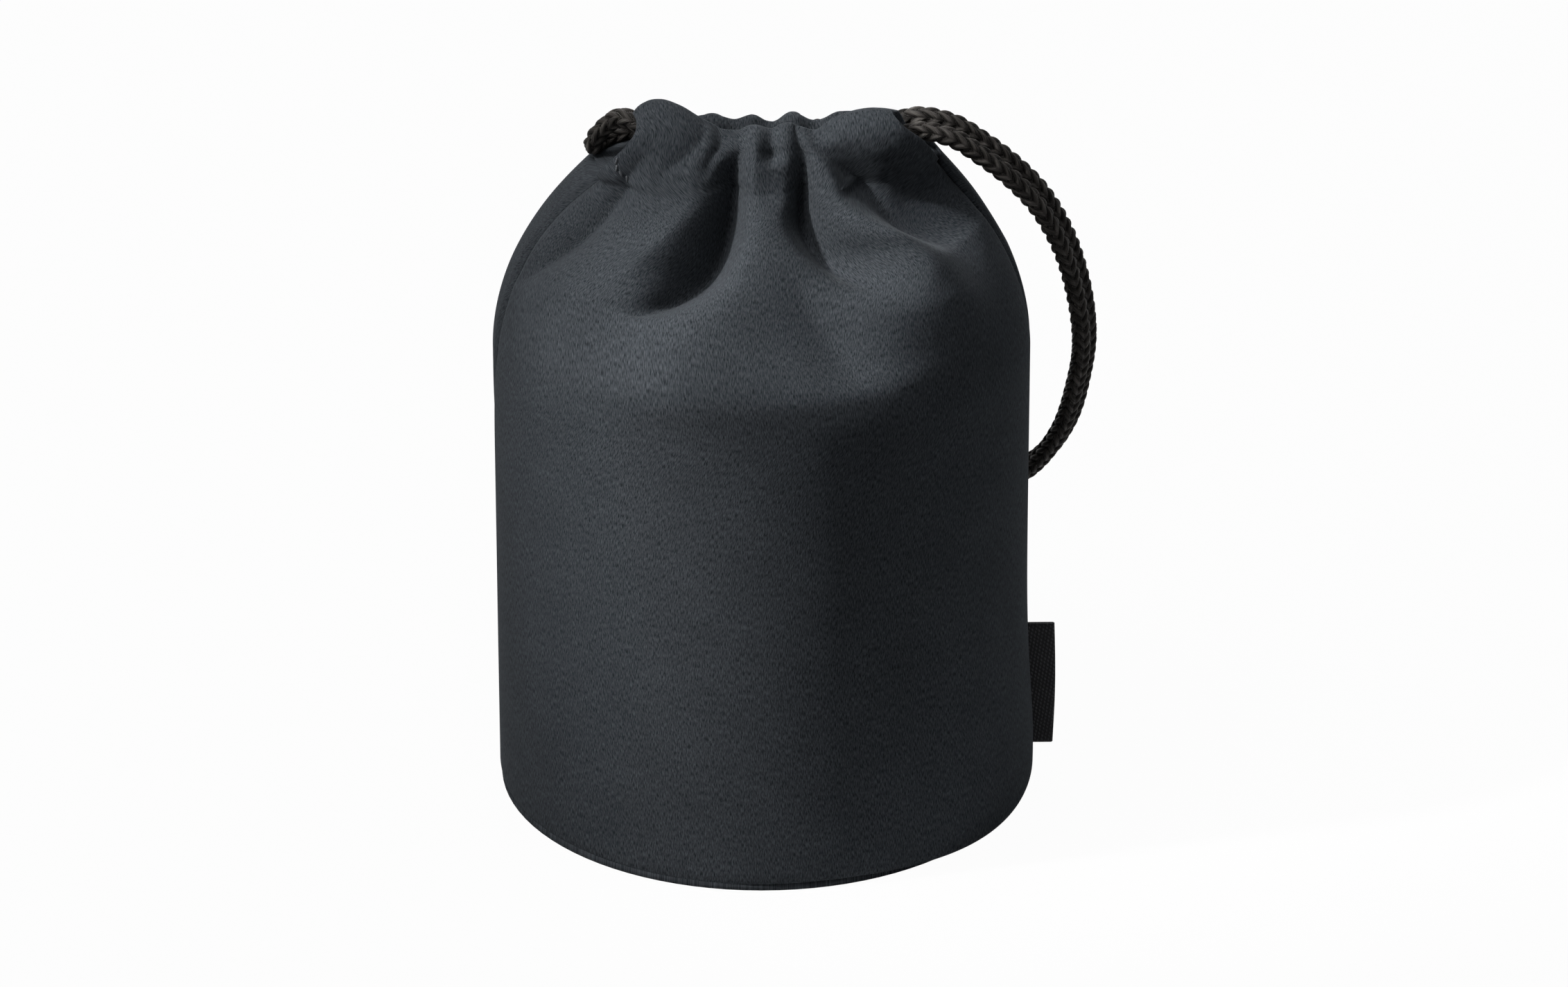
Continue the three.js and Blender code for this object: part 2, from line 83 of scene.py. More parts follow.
# %% [markdown]
# ## Small helpers for materials
#
# A finish is a tree of nodes. Building it by hand in the node editor is the same work as here: add a
# node, set it, wire it. A few helpers keep that short, and numbers that are the same all over a surface
# go straight on the shader.

# %% Material helpers
SHEEN_ROUGHNESS = 0.45


def start_finish(name, roughness, specular, sheen=0.0, sheen_tint=(1, 1, 1, 1)):
    """A new material with its constant values set on the shader itself."""
    finish = bpy.data.materials.new(name)
    finish.use_nodes = True
    shader = finish.node_tree.nodes["Principled BSDF"]
    shader.inputs["Roughness"].default_value = roughness
    shader.inputs["Specular IOR Level"].default_value = specular
    shader.inputs["Sheen Weight"].default_value = sheen
    shader.inputs["Sheen Roughness"].default_value = SHEEN_ROUGHNESS
    shader.inputs["Sheen Tint"].default_value = sheen_tint
    return finish, finish.node_tree, shader


def add_node(tree, kind, feeds=(), **settings):
    """Adds a node, sets its options, and feeds its sockets with values or with other nodes' outputs."""
    made = tree.nodes.new(kind)
    for option, value in settings.items():
        setattr(made, option, value)
    for socket, value in dict(feeds).items():
        if isinstance(value, bpy.types.NodeSocket):
            tree.links.new(value, made.inputs[socket])
        else:
            made.inputs[socket].default_value = value
    return made


def blend_colours(tree, share, dark, light):
    """A colour between two others, by a share from 0 to 1."""
    mix = add_node(tree, "ShaderNodeMix", data_type="RGBA")
    tree.links.new(share, mix.inputs["Factor"])
    mix.inputs["A"].default_value = (*dark, 1)
    mix.inputs["B"].default_value = (*light, 1)
    return mix.outputs["Result"]


def scale_space(tree, place, size):
    """Coordinates stretched so that one unit of a pattern has this size."""
    stretch = [1 / side for side in size]
    return add_node(tree, "ShaderNodeMapping", {"Vector": place, "Scale": stretch}).outputs["Vector"]


def add_bump(tree, shader, height, strength, depth):
    """Raises a surface by a pattern, to a depth in metres."""
    bump = add_node(tree, "ShaderNodeBump", {"Height": height, "Strength": strength, "Distance": depth})
    tree.links.new(bump.outputs["Normal"], shader.inputs["Normal"])


print("material helpers ready")

# %% [markdown]
# ## Floor
#
# The pouch stands on a plain pale sweep. The floor could be lit until it is white, but that would wash
# out the dark cloth. Instead the camera sees most of the floor as plain white, and only a little of the
# real floor with the shadow on it.

# %% Floor
FLOOR_SIZE = 9.0
FLOOR_WHITE = 0.97
FLOOR_GREY = (0.5, 0.5, 0.5, 1)
WHITE = (1, 1, 1, 1)

bpy.ops.object.select_all(action="DESELECT")
bpy.ops.mesh.primitive_plane_add(size=FLOOR_SIZE, location=(0, 0, 0))
floor = bpy.context.object
floor.name = "studio_floor"


def direct_view(tree):
    """1 where the camera, a gloss or a glass sees a surface, 0 where only its light counts."""
    path = add_node(tree, "ShaderNodeLightPath")
    seen = add_node(tree, "ShaderNodeMath", operation="MAXIMUM")
    tree.links.new(path.outputs["Is Camera Ray"], seen.inputs[0])
    tree.links.new(path.outputs["Is Glossy Ray"], seen.inputs[1])
    through_glass = add_node(tree, "ShaderNodeMath", operation="MAXIMUM")
    tree.links.new(seen.outputs[0], through_glass.inputs[0])
    tree.links.new(path.outputs["Is Transmission Ray"], through_glass.inputs[1])
    return through_glass.outputs[0]


floor_finish = bpy.data.materials.new("pale_floor")
floor_finish.use_nodes = True
tree = floor_finish.node_tree
matt = tree.nodes["Principled BSDF"]
matt.inputs["Base Color"].default_value = FLOOR_GREY
matt.inputs["Roughness"].default_value = 1.0
matt.inputs["Specular IOR Level"].default_value = 0.0
white = add_node(tree, "ShaderNodeEmission", {"Color": WHITE, "Strength": 1.0})
share = add_node(tree, "ShaderNodeMath", operation="MULTIPLY")
tree.links.new(direct_view(tree), share.inputs[0])
share.inputs[1].default_value = FLOOR_WHITE
sweep = add_node(tree, "ShaderNodeMixShader")
tree.links.new(share.outputs[0], sweep.inputs["Fac"])
tree.links.new(matt.outputs[0], sweep.inputs[1])
tree.links.new(white.outputs[0], sweep.inputs[2])
tree.links.new(sweep.outputs[0], tree.nodes["Material Output"].inputs["Surface"])
floor.data.materials.append(floor_finish)
print("floor of", FLOOR_SIZE, "m with", floor_finish.name)

# %% [markdown]
# ## Backdrop
#
# The world lights the pouch weakly from all round, with a cold cast. A bright world would flatten the
# folds, so it is plain white only where the camera or a gloss sees it, and looks like the floor there.

# %% Backdrop
WORLD_STRENGTH = 0.21
SKY_TINT = (0.93, 0.96, 1, 1)

studio = bpy.data.worlds.new("studio")
scene.world = studio
studio.use_nodes = True
tree = studio.node_tree
glow = tree.nodes["Background"]
glow.inputs["Strength"].default_value = WORLD_STRENGTH
glow.inputs["Color"].default_value = SKY_TINT
backdrop = add_node(tree, "ShaderNodeBackground", {"Color": WHITE, "Strength": 1.0})
sky = add_node(tree, "ShaderNodeMixShader")
tree.links.new(direct_view(tree), sky.inputs["Fac"])
tree.links.new(glow.outputs[0], sky.inputs[1])
tree.links.new(backdrop.outputs[0], sky.inputs[2])
tree.links.new(sky.outputs[0], tree.nodes["World Output"].inputs["Surface"])
print("backdrop:", studio.name)

# %% [markdown]
# ## Lamps
#
# Soft light comes from the upper left. One large lamp could give it, but then the gathers would look
# flat. So a narrow strip on the left lights the mouth and the shoulder, a soft lamp high on the left
# lights the body, and a wide one behind lights the edges.

# %% Lamps
def add_lamp(name, aim, turn, rise, roll, distance, size, spread, power):
    """A soft lamp that faces a point, from a turn to the left of the front and a rise, in degrees."""
    turn, rise = math.radians(turn), math.radians(rise)
    back = Vector((-math.sin(turn) * math.cos(rise), -math.cos(turn) * math.cos(rise), math.sin(rise)))
    rolled = Quaternion((0, 0, 1), math.radians(roll))
    bpy.ops.object.select_all(action="DESELECT")
    bpy.ops.object.light_add(
        type="AREA",
        location=Vector(aim) * MM + back * distance,
        rotation=((-back).to_track_quat("-Z", "Y") @ rolled).to_euler(),
    )
    lamp = bpy.context.object
    lamp.name = name
    lamp.data.shape = "RECTANGLE"
    lamp.data.size, lamp.data.size_y = size
    lamp.data.spread = math.radians(spread)
    lamp.data.energy = power
    return lamp


add_lamp(
    "key_strip",
    aim=(51, -11, 137),
    turn=75,
    rise=40,
    roll=12,
    distance=0.7,
    size=(0.03, 0.305),
    spread=9.5,
    power=0.106,
)
add_lamp(
    "top_lamp",
    aim=(0, -10, 90),
    turn=70,
    rise=66,
    roll=0,
    distance=0.8,
    size=(0.3, 0.3),
    spread=120,
    power=1.35,
)
add_lamp(
    "back_lamp",
    aim=(0, 0, 70),
    turn=180,
    rise=35,
    roll=0,
    distance=1.2,
    size=(0.4, 0.4),
    spread=160,
    power=3,
)
scene.view_settings.view_transform = "Standard"

# %% [markdown]
# ## Curves through listed points
#
# Every long shape here, a cord's route, a fold, the top edge of the cloth, is a short list of given
# points. A smooth curve through them is worked out by one small function, which does what a curve object
# with automatic handles does.

# %% Curve helpers
FINER = 4
# A direction that no cord here starts along
SLANTED = (0.1, 0.2, 1.0)


def through(points, at):
    """Height of a smooth curve through (place, value) points, at any places."""
    places, values = np.array(points, float).T
    slopes = np.gradient(values, places)
    left = np.clip(np.searchsorted(places, at) - 1, 0, len(places) - 2)
    step = places[left + 1] - places[left]
    t = np.clip((at - places[left]) / step, 0, 1)
    rise = values[left] * (1 + 2 * t) * (1 - t) ** 2 + values[left + 1] * t * t * (3 - 2 * t)
    lean = slopes[left] * t * (1 - t) ** 2 - slopes[left + 1] * t * t * (1 - t)
    return rise + lean * step


def length_along(line):
    """Distance along a line of points, from its start."""
    return np.concatenate(([0.0], np.cumsum(np.linalg.norm(np.diff(line, axis=0), axis=1))))


def at_distance(at, reach, rows):
    """Points of a line, or what follows it, at some distances along the line."""
    return np.stack([np.interp(at, reach, rows[:, k]) for k in range(3)], axis=1)


def smooth_route(points, step):
    """A smooth line through points, cut into even steps."""
    knots = np.array(points, float)
    chords = length_along(knots)
    fine = np.linspace(0, chords[-1], FINER * int(chords[-1] / step) + 2)
    line = np.stack([through(np.column_stack((chords, knots[:, k])), fine) for k in range(3)], axis=1)
    reach = length_along(line)
    even = np.linspace(0, reach[-1], round(reach[-1] / step) + 1)
    return at_distance(even, reach, line)


def carried_sides(line):
    """Two directions square to a line that follow it without spinning round it."""
    along = np.gradient(line, axis=0)
    along /= np.linalg.norm(along, axis=1, keepdims=True)
    side = np.cross(along[0], SLANTED)
    sides = []
    for direction in along:
        side = side - direction * (side @ direction)
        side = side / np.linalg.norm(side)
        sides.append(side)
    sides = np.array(sides)
    return sides, np.cross(along, sides)


print("curve helpers ready")

# %% [markdown]
# ## From points to a piece
#
# Cloth and cord are both grids: rows of points with a face between each four. A plane could be cut up
# and pulled into place, but rows that are worked out follow a fold or a plait exactly. Every piece then
# gets its finish, and the plain solids that it stands for are hidden.

# %% Piece helpers
def grid_piece(name, grid, around=False, capped=False):
    """A mesh from rows of points in millimetres. The rows may close round, and the ends may be capped."""
    rows, columns = grid.shape[:2]
    index = np.arange(rows * columns).reshape(rows, columns)
    ahead = np.roll(index, -1, axis=1) if around else index[:, 1:]
    here = index if around else index[:, :-1]
    faces = np.stack((here[:-1], ahead[:-1], ahead[1:], here[1:]), axis=-1).reshape(-1, 4).tolist()
    if capped:
        faces.append(index[0, ::-1].tolist())
        faces.append(index[-1].tolist())
    mesh = bpy.data.meshes.new(name)
    mesh.from_pydata((grid.reshape(-1, 3) * MM).tolist(), [], faces)
    mesh.shade_smooth()
    made = bpy.data.objects.new(name, mesh)
    scene.collection.objects.link(made)
    return made


def dress(piece, finish, slot_name, *nodes):
    """Gives a piece its material and hides the plain solids that it stands for."""
    piece.data.materials.clear()
    piece.data.materials.append(finish)
    if nodes:
        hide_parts(*nodes)
    return piece


print("piece helpers ready")

# %% [markdown]
# ## The cord's finish
#
# The cord is plaited from synthetic filaments, almost black with a warm cast. Each stitch of the plait
# is a short band of fine hairs, so the finish draws hairlines along each band and darkens its edges:
# that darkening is painted shade for the gaps between the stitches.
# The plait itself is real geometry, made in the next step, which also tells the finish where it is on
# each band.

# %% Cord finish
CORD_DARK = (0.0032, 0.0029, 0.0026)
CORD_LIGHT = (0.11, 0.101, 0.093)
CORD_SHEEN = (0.75, 0.72, 0.68, 1)
# Size of hairs and of patches of tone: across a band, along it, and from band to band
HAIR_SIZE = (0.11, 0.9, 1.0)
SHADE_SIZE = (2.0, 1.6, 0.6)


def make_cord_finish():
    """Warm black hairlines along each band of the plait, with painted shade at the band's edges."""
    finish, tree, shader = start_finish(
        "plaited_cord", roughness=0.42, specular=0.03, sheen=0.02, sheen_tint=CORD_SHEEN,
    )
    band = add_node(tree, "ShaderNodeAttribute", attribute_name="band").outputs["Vector"]
    hairs = add_node(tree, "ShaderNodeTexNoise", {
        "Vector": scale_space(tree, band, HAIR_SIZE), "Scale": 1.0, "Detail": 2.0,
    })
    shade = add_node(tree, "ShaderNodeTexNoise", {
        "Vector": scale_space(tree, band, SHADE_SIZE), "Scale": 1.0, "Detail": 1.0,
    })
    mixed = add_node(tree, "ShaderNodeMath", operation="MULTIPLY")
    tree.links.new(hairs.outputs["Fac"], mixed.inputs[0])
    tree.links.new(shade.outputs["Fac"], mixed.inputs[1])
    lit = add_node(tree, "ShaderNodeMapRange", {
        "Value": mixed.outputs[0], "From Min": 0.1, "From Max": 0.42,
    })
    split = add_node(tree, "ShaderNodeSeparateXYZ", {"Vector": band})
    # Painted shade: each band is darkened towards its edges, for the shade in the gaps between stitches
    to_edge = add_node(tree, "ShaderNodeMath", operation="PINGPONG")
    tree.links.new(split.outputs["X"], to_edge.inputs[0])
    to_edge.inputs[1].default_value = 0.5
    edge = add_node(tree, "ShaderNodeMapRange", {
        "Value": to_edge.outputs[0], "From Min": 0.06, "From Max": 0.36,
    })
    tone = add_node(tree, "ShaderNodeMath", operation="MULTIPLY")
    tree.links.new(lit.outputs["Result"], tone.inputs[0])
    tree.links.new(edge.outputs["Result"], tone.inputs[1])
    colour = blend_colours(tree, tone.outputs[0], CORD_DARK, CORD_LIGHT)
    tree.links.new(colour, shader.inputs["Base Color"])
    add_bump(tree, shader, hairs.outputs["Fac"], strength=0.55, depth=0.00012)
    return finish


cord_finish = make_cord_finish()
print("cord finish:", cord_finish.name)

# %% [markdown]
# ## One way to plait a cord
#
# The real cord is a round plait. It shows columns of short plump stitches, and neighbouring columns
# lean opposite ways, so that two of them look like a row of arrow heads. Separate bundles of filaments
# would hold far more faces than they show. So the cord is one tube whose skin rises and falls: each
# stitch of its six columns is a leaning ridge, high in the middle and low at its edges.

# %% Plaited cord
CORD_STEP = 0.22
CORD_SIDES = 48
PLAIT_COLUMNS = 6
STITCH_LENGTH = 2.5
STITCH_LEAN = 0.9
PLAIT_CORE = 1.15
BAND_PLUMP = 0.64
PLUMP_POWER = 2.4
COLUMN_EDGE = 0.5
TAPER_LENGTH = 1.2
TAPER_END = 0.55
# Keeps the numbers of stitches in neighbouring columns apart
COLUMN_COUNT_STEP = 7


def plump(phase):
    """Cross-section of a band, from edge to edge."""
    return 1 - np.abs(2 * (phase % 1) - 1) ** PLUMP_POWER


def plaited_cord(name, points, tapered=(True, True)):
    """A plaited cord along a route in millimetres, closed at both ends, and the line that it follows."""
    line = smooth_route(points, CORD_STEP)
    side, up = carried_sides(line)
    run = length_along(line)[:, None]
    turn = (np.arange(CORD_SIDES) / CORD_SIDES)[None, :]
    column = PLAIT_COLUMNS * turn
    place = column % 1
    lean = np.where(column // 1 % 2 == 0, place, 1 - place)
    stitch = run / STITCH_LENGTH + STITCH_LEAN * lean
    rounded = COLUMN_EDGE + (1 - COLUMN_EDGE) * plump(place)
    radius = PLAIT_CORE + BAND_PLUMP * plump(stitch) * rounded
    for end, distance in zip(tapered, (run, run[-1] - run)):
        if end:
            near = np.clip(distance / TAPER_LENGTH, 0, 1)
            radius = radius * (TAPER_END + (1 - TAPER_END) * np.sqrt(near * (2 - near)))
    angle = 2 * np.pi * turn[..., None]
    spokes = np.cos(angle) * side[:, None, :] + np.sin(angle) * up[:, None, :]
    cord = grid_piece(name, line[:, None, :] + radius[..., None] * spokes, around=True, capped=True)
    which = stitch // 1 + COLUMN_COUNT_STEP * (column // 1)
    band = np.stack(np.broadcast_arrays(stitch % 1, lean, which), axis=-1).astype(np.float32)
    attribute = cord.data.attributes.new("band", "FLOAT_VECTOR", "POINT")
    attribute.data.foreach_set("vector", band.ravel())
    return cord, line


print("a plait of", PLAIT_COLUMNS, "columns with a stitch every", STITCH_LENGTH, "mm")

# %% [markdown]
# ## The two free strands
#
# At the right side both ends of the cord leave the slit together, stand out in a springy arc and go
# down behind the pouch to their knot. A bevelled curve could draw them, but without a plait, so the
# plaiting function follows their route, which is the list that the plain solids follow. The two
# strands lie side by side, so each is set half a pitch to its own side of the route.

# %% Free strands
CORD_Y = 6.0
CORD_Z = 124.75
STRAND_PITCH = 3.9
STRAND_START_X = 15.6
SLIT_X = 21.8
SLIT_RISE = 0.5
PULL_ROUTE = [
    (28, 0, 126.8),
    (33.2, 0.4, 125.4),
    (38.7, 1, 121.6),
    (43.6, 2, 117.2),
    (47.9, 3.2, 112.2),
    (52.8, 6, 102.9),
    (55.7, 9.2, 93.2),
    (57.6, 13.5, 79),
    (56.8, 18, 68.7),
    (54.7, 23, 57.8),
    (49.8, 29.6, 47),
    (43.2, 36.6, 39.4),
    (39, 42, 33.2),
]
KNOT_CENTRE = np.array((35.4, 47.2, 21.0))
# How far from the knot's middle the strands end, inside it
KNOT_REACH = 2.4
# Direction from one strand to the other, at the slit and at the knot
APART_AT_SLIT = np.array((0.1, 1, 0.3))
APART_AT_KNOT = np.array((0.5, 0.85, 0))


def strand_points(side):
    """Route of one free strand: -1 for the one from the front casing, 1 for the back one."""
    toward = np.array(PULL_ROUTE[-1]) - KNOT_CENTRE
    into_knot = KNOT_CENTRE + toward * KNOT_REACH / np.linalg.norm(toward)
    middle = np.array([*PULL_ROUTE, into_knot])
    along = np.gradient(middle, axis=0)
    along /= np.linalg.norm(along, axis=1, keepdims=True)
    share = np.linspace(0, 1, len(middle))[:, None]
    apart = APART_AT_SLIT * (1 - share) + APART_AT_KNOT * share
    apart = apart - along * np.sum(apart * along, axis=1, keepdims=True)
    apart *= side * STRAND_PITCH / 2 / np.linalg.norm(apart, axis=1, keepdims=True)
    start = np.array((STRAND_START_X, side * CORD_Y, CORD_Z))
    at_slit = np.array((SLIT_X, side * (CORD_Y + STRAND_PITCH / 2) / 2, CORD_Z + SLIT_RISE))
    return np.vstack((start, at_slit, middle + apart))


for side_name, side in (("front", -1), ("back", 1)):
    strand, line = plaited_cord(side_name + "_strand", strand_points(side))
    dress(strand, cord_finish, "cord", side_name + "_pull_strand")
    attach(strand, "pull_cord")
    print(strand.name, round(length_along(line)[-1], 1), "mm long,", len(strand.data.polygons), "faces")

# %% [markdown]
# ## Knot and cut ends
#
# The two ends are tied together in an overhand knot, with the cut and melted ends just below it. It
# could be knotted with the strands' own lines, but an overhand knot is a trefoil, which a short formula
# gives, so the same plaiting function can draw it.

# %% Knot and tips
KNOT_SIZE = 1.62
KNOT_DEPTH = 1.08
KNOT_TURN_STEPS = 48
TIP_TOP = 4.2
TIP_LENGTH = 8.2
TIP_SPREAD = 1.4


def knot_points():
    """A trefoil that stands upright, with its face turned away from the pouch."""
    turn = np.linspace(0, 2 * np.pi, KNOT_TURN_STEPS + 1)
    reach = KNOT_SIZE * (2 + np.cos(3 * turn))
    outward = KNOT_CENTRE * (1, 1, 0)
    outward = outward / np.linalg.norm(outward)
    level = np.array((-outward[1], outward[0], 0))
    upright = np.array((0, 0, 1.0))
    flat = reach[:, None] * (np.cos(2 * turn)[:, None] * upright + np.sin(2 * turn)[:, None] * level)
    deep = KNOT_SIZE * KNOT_DEPTH * np.sin(3 * turn)[:, None] * outward
    return KNOT_CENTRE + flat + deep


knot, line = plaited_cord("cord_overhand_knot", knot_points(), tapered=(False, False))
dress(knot, cord_finish, "cord", "cord_knot")
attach(knot, "pull_cord")
print("knot holds", round(length_along(line)[-1], 1), "mm of cord")

for side_name, side in (("front", -1), ("back", 1)):
    apart = APART_AT_KNOT * side * STRAND_PITCH / 2 / np.linalg.norm(APART_AT_KNOT)
    top = KNOT_CENTRE + apart - (0, 0, TIP_TOP)
    bottom = KNOT_CENTRE + apart * TIP_SPREAD - (0, 0, TIP_TOP + TIP_LENGTH)
    tip, line = plaited_cord(side_name + "_tip", [top, (top + bottom) / 2, bottom])
    dress(tip, cord_finish, "cord", side_name + "_cord_tip")
    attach(tip, "pull_cord")

# %% [markdown]
# ## The bend at the left slit and the runs in the casings
#
# At the left side the cord comes out of the front casing, bends round in the open slit and goes back
# into the back casing. One cord could go through all of it, but the lips tip when the mouth is opened.
# So each half of the bend is its own piece, and each run is a piece that goes with its lip.

# %% Bend and runs
RUN_LEFT = -14.5
RUN_RIGHT = 11.0
RUN_PAST = 0.4
RUN_POINTS = 7
# Each half of the bend, from its casing to the middle of the bend
BENDS = {
    "front": [
        (-15.1, -6, 124.75), (-18.4, -5.6, 127.2), (-21.8, -4.2, 129), (-24.6, -2.2, 128.9),
        (-27, -0.8, 126.8), (-28.8, -0.1, 124.4), (-29.4, 0.9, 122.4), (-29.2, 2.6, 121.7),
    ],
    "back": [
        (-15.1, 6, 124.75), (-19, 5.9, 124.2), (-23, 5.7, 123), (-26.6, 5.2, 122),
        (-28.5, 4.2, 121.6), (-29.2, 2.6, 121.7),
    ],
}
BACK_SAG = 2.8
SAG_SPREAD = 0.68


def run_points(side):
    """The cord inside a casing. The back one sags in the middle, where the back lip is low."""
    sag = BACK_SAG if side > 0 else 0
    middle = (RUN_LEFT + RUN_RIGHT) / 2
    half = (RUN_RIGHT - RUN_LEFT) * SAG_SPREAD
    places = np.linspace(RUN_LEFT - RUN_PAST, RUN_RIGHT, RUN_POINTS)
    sunk = [sag * max(0, 1 - ((x - middle) / half) ** 2) for x in places]
    return [(x, side * CORD_Y, CORD_Z - drop) for x, drop in zip(places, sunk)]


for side_name, side in (("front", -1), ("back", 1)):
    bend, line = plaited_cord(side_name + "_bend", BENDS[side_name], tapered=(False, False))
    dress(bend, cord_finish, "cord", "cord_bight")
    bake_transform(bend)
    run, line = plaited_cord(side_name + "_run", run_points(side))
    dress(run, cord_finish, "cord", side_name + "_cord_run")
    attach(run, side_name + "_lip")
    print(bend.name, "and", run.name, "ready")

# %% [markdown]
# ## The suede's finish
#
# The cloth is a brushed microsuede: very matt, charcoal with a cold cast, and covered with a short nap
# that lies in fine streaks under a millimetre long. A plain noise would look like sand, so the noise is
# stretched along the cloth, and soft patches make its tone a little lighter or darker, as a hand leaves
# it.

# %% Suede finish
NAP_WIDTH = 0.00016
NAP_LENGTH = 0.0009
PATCH_SIZE = 0.011
SUEDE_DARK = (0.011, 0.0125, 0.0145)
SUEDE_LIGHT = (0.064, 0.0705, 0.0785)
SUEDE_SHEEN = (0.7, 0.75, 0.8, 1)


def make_suede_finish():
    """Cold charcoal nap in fine streaks along the cloth."""
    finish, tree, shader = start_finish(
        "charcoal_suede", roughness=0.95, specular=0.02, sheen=0.06, sheen_tint=SUEDE_SHEEN,
    )
    cloth = add_node(tree, "ShaderNodeUVMap", uv_map="cloth").outputs["UV"]
    patches = add_node(tree, "ShaderNodeTexNoise", {
        "Vector": scale_space(tree, cloth, (PATCH_SIZE, PATCH_SIZE, 1)), "Scale": 1.0, "Detail": 2.0,
    }).outputs["Fac"]
    nap = add_node(tree, "ShaderNodeTexNoise", {
        "Vector": scale_space(tree, cloth, (NAP_WIDTH, NAP_LENGTH, 1)),
        "Scale": 1.0,
        "Detail": 1.5,
        "Roughness": 0.5,
        "Distortion": 0.4,
    }).outputs["Fac"]
    contrast = add_node(tree, "ShaderNodeMapRange", {"Value": nap, "From Min": 0.29, "From Max": 0.72})
    brushed = add_node(tree, "ShaderNodeMapRange", {
        "Value": patches, "From Min": 0.25, "From Max": 0.75, "To Min": 0.86, "To Max": 1.12,
    })
    tone = add_node(tree, "ShaderNodeMath", operation="MULTIPLY")
    tree.links.new(contrast.outputs["Result"], tone.inputs[0])
    tree.links.new(brushed.outputs["Result"], tone.inputs[1])
    colour = blend_colours(tree, tone.outputs[0], SUEDE_DARK, SUEDE_LIGHT)
    tree.links.new(colour, shader.inputs["Base Color"])
    add_bump(tree, shader, nap, strength=0.45, depth=0.00011)
    return finish


suede_finish = make_suede_finish()
print("suede finish:", suede_finish.name)

# %% [markdown]
# ## The pouch's plain form
#
# Each panel is half of a drum that is gathered at the top. Its cross-section goes from a half circle at
# the shoulder to a flat half ring at the neck, where the cord has drawn it in. A cloth simulation could
# gather a flat sheet, but it would put the folds in other places than the photo has, so the form is
# worked out first and the folds are laid on it afterwards.

# %% Round of the body and the neck
BODY_RADIUS = 47.5
FOOT_CURL = 0.9
FOOT_HEIGHT = 2.4
FOOT_LIFT = 0.8
SHOULDER_Z = 85.0
FACE_SHOULDER_Z = 91.0
SIDE_EASE = 1.9
FACE_EASE = 2.4
STITCH_Z = 119.5
NECK_HALF_WIDTH = 31.5
NECK_RADIUS = 14.0
NECK_SHIFT = 1.0
EAR_FROM_Z = 129.0
EAR_LEAN = 0.55
CLOTH = 1.2
COLUMNS = 200
FOOT_ROWS = 20
WALL_ROWS = 42
SHOULDER_ROWS = 88
BODY_ROWS = FOOT_ROWS + WALL_ROWS + SHOULDER_ROWS
LIP_ROWS = 44
HEM_ROWS = 4
TINY = 1e-9

# How much higher the front's shoulder starts, by the share of the way from the left seam to the right
SHOULDER_RISE = [(0, 0), (0.4, 0), (0.56, 1.6), (0.8, 1.6), (1, 0)]
# How far the left seam has slipped forward round the pouch, by height, as a share of half a turn
SEAM_LEAD = [
    (0, 0), (68, 0), (80, 0.03), (87, 0.056), (92, 0.056), (108, 0.05), (112, 0.06), (115, 0.072),
    (119.5, 0.1),
]


def wall_plan(v):
    """Round of the body: 0 is the left seam, 0.5 the front, 1 the right seam, 1.5 the back."""
    return np.cos(np.pi * (1 + v)), np.sin(np.pi * (1 + v))


def neck_plan(v):
    """Flat ring of the gathered neck, measured round in the same way."""
    v = v % 2
    share = np.where(v <= 1, v, 2 - v)
    straight = NECK_HALF_WIDTH - NECK_RADIUS
    corner = np.pi / 2 * NECK_RADIUS
    run = share * 2 * (corner + straight)
    past_right = np.clip((run - corner - 2 * straight) / NECK_RADIUS, 0, np.pi / 2)
    turn = np.minimum(run / NECK_RADIUS, np.pi / 2) + past_right
    x = np.clip(run - corner - straight, -straight, straight) - NECK_RADIUS * np.cos(turn)
    y = NECK_RADIUS * np.sin(turn)
    return x + NECK_SHIFT, np.where(v <= 1, -y, y)


print("body", 2 * BODY_RADIUS, "mm across, neck", 2 * NECK_HALF_WIDTH, "by", 2 * NECK_RADIUS, "mm")

# %% [markdown]
# ## The folded casings
#
# Above the neck each panel is folded over the cord, down inside and back to the stitches, which makes a
# lip. It could be a tube, but its ends are open and turned to the front and its top edge waves up and
# down. So its section is a list of steps over the cord, and its top edge is a list of heights.

# %% Casing and top edge
# Section of the folded casing: distance from the middle, share of the lip's height, where its left and
# right ends lie, and how far its left and right ends are turned from the seam to face forward or back
FRONT_LIP = [
    (14.0, 0.0, 29.5, 32.5, 0.0, 0.0),
    (13.1, 0.16, 28.3, 31.6, 0.2, 0.1),
    (12.3, 0.36, 26.2, 30.2, 0.42, 0.24),
    (11.6, 0.6, 23.8, 28.2, 0.66, 0.46),
    (10.2, 0.82, 21.9, 25.2, 0.82, 0.7),
    (8.1, 0.95, 21.7, 23.4, 0.88, 0.82),
    (6.0, 1.0, 22.3, 22.6, 0.9, 0.86),
    (4.4, 0.95, 22.0, 22.6, 0.9, 0.86),
    (3.2, 0.8, 21.2, 23.2, 0.9, 0.8),
    (2.4, 0.5, 20.6, 24.6, 0.88, 0.7),
    (2.6, 0.12, 21.0, 26.6, 0.8, 0.6),
]
